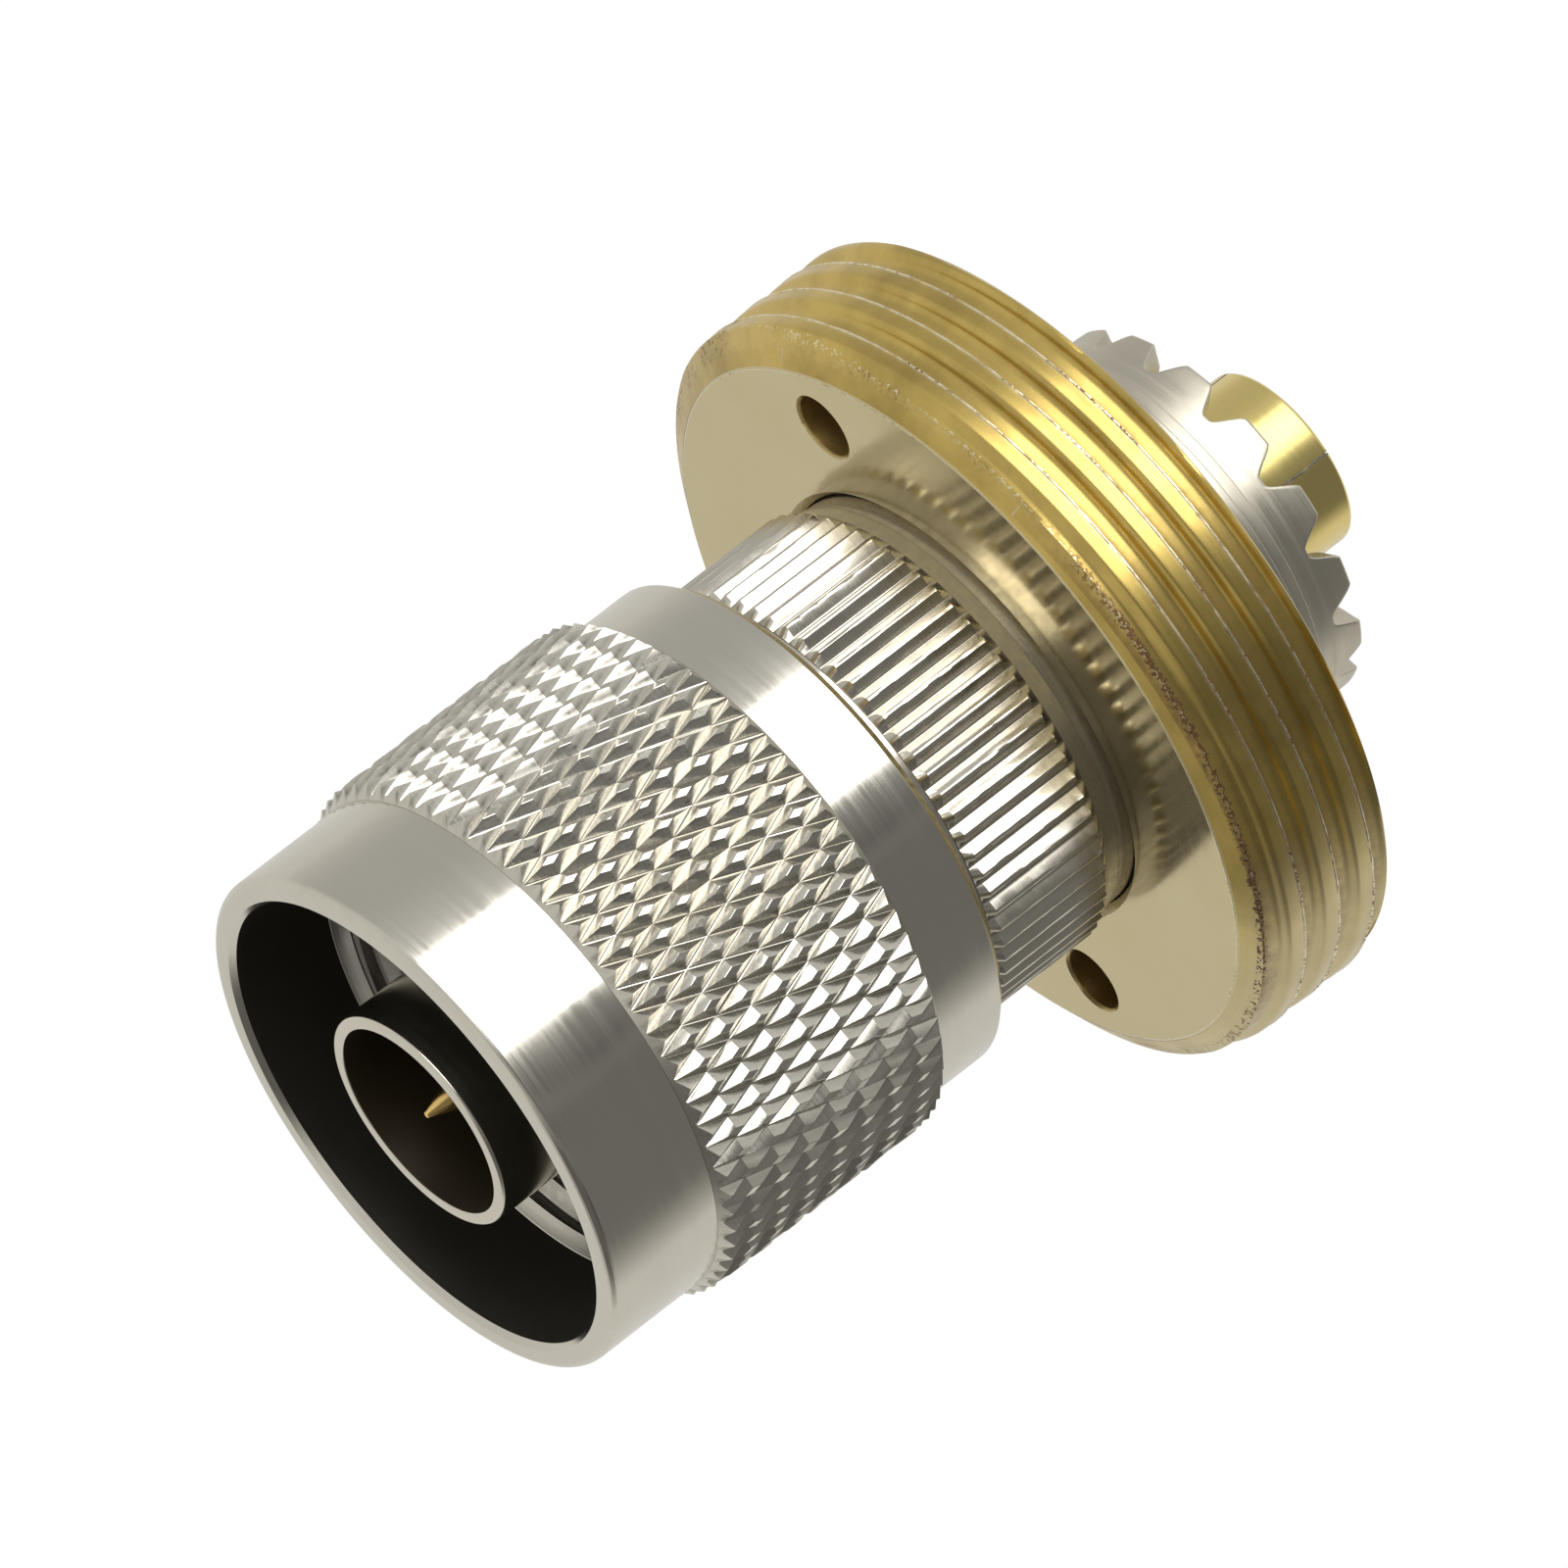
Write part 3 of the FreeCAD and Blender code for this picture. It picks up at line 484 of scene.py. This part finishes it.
def make_threaded_ring():
    """The brass ring: turned core, helical outside thread with ragged crests, two blind holes."""
    root = THREAD_ROOT_R
    corners = [
        (RING_BORE_R + RING_BORE_BEVEL, RING_FRONT, 0.05),
        (RING_FACE_R, RING_FRONT, 0.05),
        (RING_LEAD_R - 0.03, -RING_LEAD_DEPTH, 0.0),
        (RING_LEAD_R - 0.05, -RING_LEAD_DEPTH - 0.08, 0.0),
        (RING_LEAD_R, -RING_LEAD_DEPTH - 0.3, 0.0),
        (root - 0.02, -RING_LEAD_DEPTH - 0.5, 0.0),
        (root - 0.02, RING_REAR + 0.3, 0.05),
        (root - 0.3, RING_REAR, 0.05),
        (RING_BORE_R + 0.15, RING_REAR, 0.03),
        (RING_BORE_R, RING_REAR + 0.15, 0.03),
        (RING_BORE_R, -RING_BORE_BEVEL, 0.03),
    ]
    verts, faces, edge = lathe(soften(corners), even_stations(900), radius_rule=ring_raggedness)
    radius = np.hypot(verts[:, 0], verts[:, 1])
    height = verts[:, 2]
    threaded = (height < -RING_LEAD_DEPTH - 0.05) & (height > RING_REAR + 0.3)
    threaded &= radius > RING_FACE_R + 0.2
    # The core under the thread is marked for dirt and painted shade, and as gilt.
    marks = {"edge": edge, "groove": threaded.astype(float), "gilt": threaded.astype(float)}
    ring = make_mesh("ring_core", verts, faces, marks, "ring", ["threaded_ring"], brass)
    cut(ring, spanner_tools())
    mark_holes(ring.data)
    ring.data.set_sharp_from_angle(angle=math.radians(35))
    lead_slope = (RING_LEAD_R - RING_FACE_R) / RING_LEAD_DEPTH

    def envelope(r, z):
        front = RING_FACE_R + 0.006 + (RING_FRONT - z) * lead_slope
        rear = THREAD_ROOT_R + 0.2 + (z - RING_REAR) * 1.6
        return np.minimum(np.minimum(r, front), rear)

    section = [
        (-0.12, -0.19, 0.0), (0.0, -0.175, 0.0), (0.5, -0.155, 0.0), (0.93, -0.14, 0.2),
        (1.05, -0.125, 1.0), (1.05, -0.1, 1.0), (0.985, -0.075, 0.2), (0.995, 0.0, 0.0),
        (1.0, 0.1, 0.0), (0.99, 0.19, 0.0), (0.96, 0.24, 0.0), (0.88, 0.285, 0.0),
        (0.72, 0.33, 0.0), (0.52, 0.37, 0.0), (0.35, 0.41, 0.0), (0.24, 0.46, 0.0),
        (0.17, 0.53, 0.0), (0.11, 0.62, 0.0), (0.04, 0.74, 0.0), (-0.12, 0.81, 0.0),
    ]
    start = FIRST_CREST_NEAR - 3.75 * THREAD_PITCH
    verts, faces, marks = thread_strip(
        THREAD_CREST_R, root, THREAD_PITCH, RING_REAR + 0.02, RING_FRONT - 0.05, start, 480, section,
        envelope, seed=4, ragged=0.013)
    marks["gilt"] = np.ones(len(verts))
    make_mesh("ring_thread", verts, faces, marks, "ring", ["threaded_ring"], brass)


def spanner_centres():
    """The middles of the two spanner holes."""
    return [(SPANNER_R * math.cos(bearing), SPANNER_R * math.sin(bearing)) for bearing in SPANNER_BEARINGS]


def spanner_tools():
    """The drilled holes with pointed floors and broken edges, as tools for cutting."""
    outline = soften([
        (0.0001, 0.3, 0), (SPANNER_HOLE_R + 0.4, 0.3, 0), (SPANNER_HOLE_R + 0.1, 0.0, 0.02),
        (SPANNER_HOLE_R, -0.1, 0.02), (SPANNER_HOLE_R, -SPANNER_DEPTH, 0.0),
        (0.0001, -SPANNER_DEPTH - SPANNER_POINT, 0),
    ], steps=2)
    verts, faces, _ = lathe(outline, even_stations(64))
    return [tool_object(verts + np.array([x, y, 0]), faces) for x, y in spanner_centres()]


def mark_holes(mesh):
    """Marks the walls of the spanner holes for painted shade, and as gilt."""
    points = mesh_points(mesh)
    inside = np.zeros(len(points), dtype=bool)
    for x, y in spanner_centres():
        away = np.hypot(points[:, 0] - x, points[:, 1] - y)
        inside |= (away < SPANNER_HOLE_R + 0.02) & (points[:, 2] < -0.07)
    for label, value in (("groove", 0.7), ("gilt", 1.0)):
        marks = np.zeros(len(points), dtype=np.float32)
        mesh.attributes[label].data.foreach_get("value", marks)
        marks[inside] = value
        mesh.attributes[label].data.foreach_set("value", marks)


def ridge_stations():
    """Angles that follow the collar's ridges from valley to crest and back."""
    period = TURN / RIDGES
    half = [0.0, 0.025, 0.06, 0.1, 0.37, 0.4, 0.43, 0.5]
    shares = half + [1 - share for share in half[-2:0:-1]]
    return np.concatenate([(ridge + np.array(shares)) * period for ridge in range(RIDGES)])


def ridge_radius(radius, height, turn):
    """Cuts the collar's V-shaped grooves into a radius, with crests that are a little worn."""
    place = turn * RIDGES / TURN
    share = place % 1.0
    away = np.minimum(share, 1 - share)
    depth = RIDGE_DEPTH * np.interp(away, [0, 0.025, 0.06, 0.4, 0.425, 0.445, 0.5],
                                    [1, 0.985, 0.92, 0.09, 0.035, 0.01, 0.0])
    random = np.random.default_rng(21)
    wear = np.abs(random.normal(0, 0.006, RIDGES))[np.floor(place).astype(int) % RIDGES]
    nick = np.abs(random.normal(0, 0.005, radius.shape)) * (away > 0.39) * (away < 0.45)
    depth = np.maximum(depth, wear * (away > 0.4)) + nick
    inside = (height <= COLLAR_FRONT + 1e-6) & (radius > COLLAR_R - RIDGE_DEPTH)
    return np.where(inside, np.minimum(radius, COLLAR_R - depth), radius)


def make_plug_body():
    """Ferrule, shank, ridged collar and neck, in one turned piece."""
    corners = [
        (FERRULE_BORE_R, FERRULE_FRONT, 0.08), (FERRULE_R, FERRULE_FRONT, 0.14),
        (FERRULE_R, 14.5, 0.1), (SHANK_R, 14.5, 0.15),
        (SHANK_R, 11.43, 0), (6.2, 11.43, 0), (6.2, 9.97, 0), (SHANK_R, 9.97, 0),
        (SHANK_R, 6.3, 0.02), (8.05, 6.3, 0.06), (8.05, 6.0, 0.02),
        (8.13, COLLAR_FRONT, 0.0), (COLLAR_R, COLLAR_FRONT - 0.27, 0.03), (COLLAR_R, 1.35, 0.1),
        (8.08, COLLAR_BAND, 0.05), (8.0, 0.4, 0.04), (7.95, 0.38, 0.0), (7.95, -5.8, 0),
        (6.6, -5.8, 0), (6.6, -1.0, 0), (5.2, -1.0, 0), (5.2, 14.0, 0), (FERRULE_BORE_R, 14.0, 0.05),
    ]
    outline = densify(soften(corners), COLLAR_BAND - 0.02, COLLAR_FRONT, 0.25)
    verts, faces, edge = lathe(outline, ridge_stations(), ridge_radius)
    radius = np.hypot(verts[:, 0], verts[:, 1])
    height = verts[:, 2]
    outside = radius > 7.9
    ridged = (height > COLLAR_BAND) & (height < COLLAR_FRONT + 0.01) & outside
    # Painted shade in the ferrule's bore and on the neck between collar and ring; the collar's V grooves
    # get darker towards their floors.
    groove = np.where(ridged, np.clip((COLLAR_R - 0.17 - radius) / 0.12, 0, 1) * 0.22, 0)
    in_ferrule = (radius < FERRULE_BORE_R + 0.02) & (height < FERRULE_FRONT - 0.04)
    groove = np.where(in_ferrule, FULL_SHADE_MARK, groove)
    groove = np.where((height < COLLAR_BAND) & outside, 0.35, groove)
    edge = np.where(ridged, 0, edge)
    make_mesh("plug_body_turned", verts, faces, {"edge": edge, "groove": groove}, "connector",
              ["plug_body"], nickel_body, sharp=28.0)


def knurl_blank():
    """The turned blank of the knurled band, with a bevel at each end."""
    verts, faces, _ = lathe([
        (9.25, KNURL_FRONT, 0), (9.48, KNURL_FRONT, 0), (KNURL_TIP_R, KNURL_FRONT - 0.38, 0),
        (KNURL_TIP_R, KNURL_REAR + 0.38, 0), (9.45, KNURL_REAR, 0), (9.25, KNURL_REAR, 0),
    ], even_stations(360))
    return tool_object(verts, faces)


def knurl_band():
    """The diamond knurl: flat-topped pyramids between two sets of grooves, cut from the blank."""
    row_height = (KNURL_FRONT - KNURL_REAR) / KNURL_ROWS
    columns = 2 * KNURL_STARTS
    random = np.random.default_rng(7)
    sink = random.normal(0, 0.012, (KNURL_ROWS + 6, columns))
    verts, faces, crossings = [], [], {}

    def point(column, row, radius):
        turn = math.pi * column / KNURL_STARTS
        return (radius * math.cos(turn), radius * math.sin(turn), KNURL_REAR + row * row_height)

    def crossing(column, row):
        key = (column % columns, row)
        if key not in crossings:
            crossings[key] = len(verts)
            verts.append(point(column, row, KNURL_VALLEY_R + sink[row, key[0]]))
        return crossings[key]

    for row in range(-1, KNURL_ROWS + 2):
        for column in range(row % 2, columns, 2):
            sides = ((-1, 0), (0, -1), (1, 0), (0, 1))
            loop = [crossing(column + across, row + up) for across, up in sides]
            lean = random.normal(0, 0.012, 2)
            top = 0.012 + abs(random.normal(0, 0.012))
            size = random.normal(0.26, 0.025)
            steps = ((0.93, 0.06), (0.66, 0.47), (size + 0.05, 0.955), (size, 1.0))
            for share, level in steps:
                start = len(verts)
                for across, up in sides:
                    radius = KNURL_VALLEY_R + (KNURL_TIP_R - top - KNURL_VALLEY_R) * level
                    radius += level * (lean[0] * across + lean[1] * up)
                    verts.append(point(column + across * share, row + up * share, radius))
                inner = [start + side for side in range(4)]
                faces += [[loop[side], loop[(side + 1) % 4], inner[(side + 1) % 4], inner[side]]
                          for side in range(4)]
                loop = inner
            faces.append(loop)
    rims = []
    for ends, reach in (((-1, -2), -2.5), ((KNURL_ROWS + 1, KNURL_ROWS + 2), KNURL_ROWS + 2.5)):
        outer = [crossings[column, ends[column % 2]] for column in range(columns)]
        start = len(verts)
        verts += [point(column, reach, 9.2) for column in range(columns)]
        rims.append((outer, [start + column for column in range(columns)]))
    (low_outer, low_inner), (high_outer, high_inner) = rims
    for column in range(columns):
        after = (column + 1) % columns
        faces.append([low_outer[after], low_outer[column], low_inner[column], low_inner[after]])
        faces.append([high_outer[column], high_outer[after], high_inner[after], high_inner[column]])
        faces.append([low_inner[after], low_inner[column], high_inner[column], high_inner[after]])
    band = tool_object(verts, faces)
    cut(band, [knurl_blank()], "INTERSECT")
    mesh = band.data
    points = mesh_points(mesh)
    polygons = [list(polygon.vertices) for polygon in mesh.polygons]
    bpy.data.objects.remove(band)
    radius = np.hypot(points[:, 0], points[:, 1])
    edge = np.clip((radius - KNURL_TIP_R + 0.06) / 0.03, 0, 1)
    column = np.arctan2(points[:, 1], points[:, 0]) * KNURL_STARTS / math.pi
    row = (points[:, 2] - KNURL_REAR) / row_height
    middle = 2 * np.round((column + row) / 2), 2 * np.round((column - row) / 2)
    behind = (middle[0] + middle[1]) / 2 - column
    level = (radius - KNURL_VALLEY_R) / (KNURL_TIP_R - KNURL_VALLEY_R)
    # Painted shade: dark low on the facets and in the grooves, most on the facets behind each pyramid's
    # middle, with a lighter line at the groove floor.
    groove = np.interp(level, [0.05, 0.2, 0.47, 0.7, 0.9], [0.1, 0.5, 0.75, 0.6, 0.0])
    groove *= np.interp(behind, [0.1, 0.5], [0.25, 1.3])
    return points, polygons, {"edge": edge, "groove": groove}


def make_coupling_nut():
    """The nut: turned core with smooth bands, a band of diamond knurl, and the inside thread."""
    step_z = 19.7
    corners = [
        (NUT_MOUTH_R, NUT_FRONT - 0.2, 0.03), (8.68, NUT_FRONT, 0.04), (NUT_FRONT_R, NUT_FRONT, 0.34),
        (NUT_FRONT_R, KNURL_FRONT, 0.02),
        (9.3, KNURL_FRONT - 0.02, 0), (9.3, KNURL_REAR + 0.02, 0),
        (NUT_REAR_R, KNURL_REAR, 0.0), (NUT_REAR_R, NUT_REAR + 0.25, 0.06), (9.1, NUT_REAR, 0.06),
        (NUT_BORE_R, NUT_REAR, 0.03), (NUT_BORE_R, 9.97, 0), (7.7, 9.97, 0), (7.7, 10.93, 0),
        (NUT_BORE_R, 10.93, 0), (NUT_BORE_R, 12.6, 0.05), (8.1, 12.6, 0.05), (8.1, 14.9, 0.05),
        (NUT_THREAD_MAJOR, 14.95, 0.0), (NUT_THREAD_MAJOR, 19.35, 0.02), (NUT_MOUTH_R, step_z, 0.06),
    ]
    verts, faces, edge = lathe(soften(corners, steps=7), even_stations(360))
    radius = np.hypot(verts[:, 0], verts[:, 1])
    height = verts[:, 2]
    # Painted shade: the nut's inside is fully dark, apart from the band at the thread's front end.
    hidden = (radius < NUT_MOUTH_R + 0.05) & (height < NUT_FRONT - 0.2) & (height > NUT_REAR + 0.2)
    hidden &= (height < NUT_THREAD_FRONT) | (height > step_z + 0.02)
    core = verts, faces, {"edge": edge, "groove": np.where(hidden, FULL_SHADE_MARK, 0.0)}

    def envelope(r, z):
        lead = NUT_THREAD_MINOR + np.clip(z - (NUT_THREAD_FRONT - 0.5), 0, 1)
        return np.maximum(r, lead)

    section = [(-0.06, -0.5, 0.0), (0.05, -0.4, 0.0), (0.9, -0.12, 0.5), (1.0, -0.08, 1.0),
               (1.0, 0.08, 1.0), (0.9, 0.12, 0.5), (0.05, 0.4, 0.0), (-0.06, 0.5, 0.0)]
    thread_verts, thread_faces, marks = thread_strip(
        NUT_THREAD_MINOR, NUT_THREAD_MAJOR, NUT_THREAD_PITCH, NUT_THREAD_REAR, NUT_THREAD_FRONT,
        NUT_THREAD_REAR, 240, section, envelope, seed=9, ragged=0.004)
    # Painted shade over the whole inside thread.
    marks["groove"] = np.full(len(thread_verts), 0.2)
    verts, faces, marks = joined(core, knurl_band(), (thread_verts, thread_faces, marks))
    make_mesh("coupling_nut_knurled", verts, faces, marks, "nut", ["coupling_nut"],
              nickel_nut, sharp=12.0)


def crown_height(radius, height, turn):
    """Raises the crown's free end into a notch between each two teeth."""
    period = TURN / CROWN_TEETH
    away = (turn - math.radians(CROWN_ANGLE) + period / 2) % period - period / 2
    side = np.abs(radius * np.sin(away))
    floor_half, mouth_half = 0.16, 0.84
    rounded = smoothstep(side, floor_half, mouth_half)
    straight = np.clip((side - floor_half) / (mouth_half - floor_half), 0, 1)
    rise = NOTCH_DEPTH * (1 - rounded * 0.55 - 0.45 * straight)
    crown = (radius > CROWN_BORE_R - 0.01) & (radius < CROWN_R + 0.01) & (height < CROWN_ROOT - 0.01)
    share = np.clip((CROWN_ROOT - height) / (CROWN_ROOT - CROWN_TIP), 0, 1)
    return np.where(crown, height + rise * share, height)


def make_rear_body():
    """Flange, steps and toothed crown."""
    corners = [
        (6.6, -1.0, 0.05), (6.6, -5.8, 0), (8.6, -5.8, 0.1), (8.6, -7.3, 0.12), (7.6, -7.3, 0.08),
        (7.6, -8.7, 0.05), (7.4, -8.7, 0.02), (7.4, CROWN_ROOT, 0.05), (CROWN_R, CROWN_ROOT, 0.08),
        (CROWN_R, CROWN_TIP, 0.12), (CROWN_BORE_R, CROWN_TIP, 0.08),
        (CROWN_BORE_R, -6.0, 0), (5.2, -6.0, 0), (5.2, -1.0, 0),
    ]
    outline = densify(soften(corners), CROWN_TIP, CROWN_ROOT, 0.2)
    period = TURN / CROWN_TEETH
    tooth_stations = (np.arange(36) / 36 - 0.5) * period
    stations = np.concatenate([math.radians(CROWN_ANGLE) + tooth * period + tooth_stations
                               for tooth in range(CROWN_TEETH)])
    verts, faces, edge = lathe(outline, stations, height_rule=crown_height)
    marks = {"edge": edge * 0.8, "groove": np.zeros(len(edge))}
    make_mesh("rear_body_crowned", verts, faces, marks, "connector", ["rear_body"],
              nickel_rear, sharp=40.0)


def make_contact_sleeve():
    """The gold contact, with slots from its free end."""
    corners = [
        (1.0, -5.0, 0), (3.9, -5.0, 0.08), (3.9, -6.0, 0.05), (SLEEVE_R, -6.0, 0.03),
        (SLEEVE_R, SLEEVE_END, 0.14), (SLEEVE_BORE_R, SLEEVE_END, 0.05),
        (SLEEVE_BORE_R, SLEEVE_FLOOR, 0.05), (1.0, SLEEVE_FLOOR, 0),
    ]
    verts, faces, edge = lathe(soften(corners), even_stations(192))
    marks = {"edge": edge, "groove": np.zeros(len(edge))}
    sleeve = make_mesh("contact_sleeve_slotted", verts, faces, marks, "connector",
                       ["contact_sleeve"], gold)
    tools = []
    half = SLOT_WIDTH / 2
    for slot in range(SLOT_COUNT):
        bearing = math.radians(SLOT_ANGLE) + slot * TURN / SLOT_COUNT
        out = np.array([math.cos(bearing), math.sin(bearing), 0])
        along = np.array([-math.sin(bearing), math.cos(bearing), 0])
        verts = [out * r + along * a + np.array([0, 0, z])
                 for r in (1.5, 4.5) for a in (-half, half)
                 for z in (SLEEVE_END - 0.5, SLEEVE_END + SLOT_LENGTH)]
        faces = [(0, 1, 3, 2), (4, 6, 7, 5), (0, 4, 5, 1), (2, 3, 7, 6), (0, 2, 6, 4), (1, 5, 7, 3)]
        tools.append(tool_object(verts, faces))
    cut(sleeve, tools)
    sleeve.data.set_sharp_from_angle(angle=math.radians(35))
    # Painted shade on the walls of the slots.
    points = mesh_points(sleeve.data)
    turn = np.arctan2(points[:, 1], points[:, 0]) - math.radians(SLOT_ANGLE)
    away = np.abs(np.hypot(points[:, 0], points[:, 1]) * np.sin(2 * turn) / 2)
    in_slot = (away < half + 0.005) & (points[:, 2] < SLEEVE_END + SLOT_LENGTH + 0.01)
    sleeve.data.attributes["groove"].data.foreach_set("value", in_slot.astype(np.float32))


def make_turned_piece(name, node, material, corners):
    """A plain turned piece of the connector."""
    verts, faces, edge = lathe(soften(corners), even_stations(128))
    marks = {"edge": edge, "groove": np.zeros(len(edge))}
    make_mesh(name, verts, faces, marks, "connector", [node], material)


def make_inner_pieces():
    """The pin, the beads and the gasket, and the finish of the snap ring that the CAD model shows."""
    make_turned_piece("centre_pin_turned", "centre_pin", pin_gold, [
        (0.0001, 23.07, 0), (0.1, 23.07, 0.06), (0.825, 21.17, 0.3), (0.825, 18.0, 0.05),
        (1.52, 17.6, 0.08), (1.52, 9.0, 0), (2.2, 9.0, 0.05), (2.2, 8.2, 0.05), (1.52, 8.2, 0),
        (1.52, -5.0, 0), (1.0, -5.0, 0), (1.0, SLEEVE_FLOOR, 0.05), (0.0001, SLEEVE_FLOOR, 0),
    ])
    make_turned_piece("front_insulator_turned", "front_insulator", dielectric, [
        (1.52, 14.0, 0.05), (5.2, 14.0, 0.05), (5.2, 9.0, 0.05), (1.52, 9.0, 0.05)])
    make_turned_piece("rear_insulator_turned", "rear_insulator", dielectric, [
        (SLEEVE_R, -6.0, 0.05), (CROWN_BORE_R, -6.0, 0.05), (CROWN_BORE_R, -9.2, 0.08),
        (SLEEVE_R, -9.2, 0.08)])
    make_turned_piece("gasket_ring", "gasket", rubber, [
        (4.08, 14.5, 0.1), (6.7, 14.5, 0.2), (6.7, 15.8, 0.3), (4.08, 15.8, 0.3)])
    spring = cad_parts["nut_snap_ring"]
    spring.data.materials.clear()
    spring.data.materials.append(bronze)


# Studio

CAMERA_PLACE = Vector((1.40, -746.9, 310.9)) * MM
CAMERA_RIGHT = Vector((-0.6093, -0.2993, -0.7343))
CAMERA_UP = Vector((0.7929, -0.2300, -0.5642))
CAMERA_BACK = Vector((0.0, -0.9260, 0.3775))
CAMERA_LENS = 579.3
TABLE_UP = Vector((0.6056, -0.7734, -0.1872))
# Dark cards round the object: direction, where each begins and is full, and how dark it is.
CARDS = [((-0.80, -0.46, -0.378), 0.64, 0.88, 0.76), ((-0.80, -0.10, 0.60), 0.70, 0.90, 0.85),
         ((-0.20, -0.90, -0.378), 0.97, 0.992, 0.6), ((-0.26, -0.90, 0.28), 0.80, 0.96, 0.75),
         ((0.93, 0.05, -0.38), 0.80, 0.97, 0.25)]


def make_camera():
    """The camera, at the place and angle solved from the photograph."""
    data = bpy.data.cameras.new("camera")
    data.lens = CAMERA_LENS
    data.sensor_width = 36.0
    data.clip_start, data.clip_end = 0.05, 20.0
    camera = bpy.data.objects.new("camera", data)
    bpy.context.scene.collection.objects.link(camera)
    turn = Matrix((CAMERA_RIGHT, CAMERA_UP, CAMERA_BACK)).transposed().to_4x4()
    camera.matrix_world = Matrix.Translation(CAMERA_PLACE) @ turn
    bpy.context.scene.camera = camera


def make_world():
    """A plain studio as the object sees it: a pale room and table with dark cards. The camera
    sees white."""
    world = bpy.data.worlds.new("studio")
    bpy.context.scene.world = world
    world.use_nodes = True
    n = Nodes(world.node_tree)
    output = n.add("ShaderNodeOutputWorld")
    background = n.add("ShaderNodeBackground")
    n.link(background.outputs[0], output.inputs["Surface"])
    direction = n.add("ShaderNodeTexCoord").outputs["Generated"]

    def towards(vector):
        dot = n.add("ShaderNodeVectorMath", operation="DOT_PRODUCT")
        n.link(direction, dot.inputs[0])
        dot.inputs[1].default_value = vector
        return dot.outputs["Value"]

    ramp = n.add("ShaderNodeValToRGB")
    n.link(n.scale(towards(TABLE_UP), -1.0, 1.0, 0.0, 1.0), ramp.inputs[0])
    stops = [
        (0.00, (0.72, 0.71, 0.68)), (0.12, (0.72, 0.71, 0.68)), (0.50, (0.70, 0.69, 0.66)),
        (0.85, (0.66, 0.66, 0.65)), (1.00, (0.66, 0.66, 0.66)),
    ]
    elements = ramp.color_ramp.elements
    while len(elements) < len(stops):
        elements.new(0.5)
    for element, (position, tone) in zip(elements, stops):
        element.position = position
        element.color = colour(*tone)
    shade = ramp.outputs[0]
    for vector, gone, full, share in CARDS:
        cover = n.scale(towards(Vector(vector).normalized()), gone, full, 0.0, share)
        shade = n.mix(cover, shade, colour(0.03, 0.03, 0.03))
    seen = n.add("ShaderNodeLightPath").outputs["Is Camera Ray"]
    n.link(n.mix(seen, shade, colour(1.0, 1.0, 1.0)), background.inputs["Color"])
    background.inputs["Strength"].default_value = 1.0


def area_light(name, direction, distance, width, height, radiance):
    """A soft box of a given brightness that faces the object from a direction."""
    data = bpy.data.lights.new(name, "AREA")
    data.shape = "RECTANGLE"
    data.size, data.size_y = width, height
    data.energy = radiance * width * height * math.pi
    light = bpy.data.objects.new(name, data)
    bpy.context.scene.collection.objects.link(light)
    back = Vector(direction).normalized()
    right = Vector((0, 0, 1)).cross(back).normalized()
    up = back.cross(right)
    turn = Matrix((right, up, back)).transposed().to_4x4()
    light.matrix_world = Matrix.Translation(back * distance) @ turn


def make_floor():
    """A pale floor well below the held adapter. It takes the shadow, and lights pass it from below."""
    half, level = 3.0, -0.075
    corners = [(-half, -half, level), (half, -half, level), (half, half, level), (-half, half, level)]
    mesh = bpy.data.meshes.new("floor")
    mesh.from_pydata(corners, [], [(0, 1, 2, 3)])
    floor = bpy.data.objects.new("floor", mesh)
    bpy.context.scene.collection.objects.link(floor)
    material = bpy.data.materials.new("floor_white")
    material.use_nodes = True
    n = Nodes(material.node_tree)
    output = n.add("ShaderNodeOutputMaterial")
    matte = n.add("ShaderNodeBsdfDiffuse")
    matte.inputs["Color"].default_value = colour(0.9, 0.9, 0.9)
    glow = n.add("ShaderNodeEmission")
    glow.inputs["Strength"].default_value = 1.12
    seen = n.add("ShaderNodeLightPath").outputs["Is Camera Ray"]
    blend = n.add("ShaderNodeMixShader")
    n.link(n.math("MULTIPLY", seen, 0.82), blend.inputs[0])
    n.link(matte.outputs[0], blend.inputs[1])
    n.link(glow.outputs[0], blend.inputs[2])
    n.link(blend.outputs[0], output.inputs["Surface"])
    mesh.materials.append(material)
    floor.visible_shadow = False
    floor.visible_glossy = False
    floor.visible_diffuse = False


def make_studio():
    make_camera()
    make_world()
    make_floor()
    area_light("key", (0.40, -0.86, -0.14), 0.6, 0.52, 0.58, 3.0)
    bpy.context.scene.view_settings.view_transform = "Standard"


make_threaded_ring()
make_plug_body()
make_coupling_nut()
make_rear_body()
make_contact_sleeve()
make_inner_pieces()
make_studio()
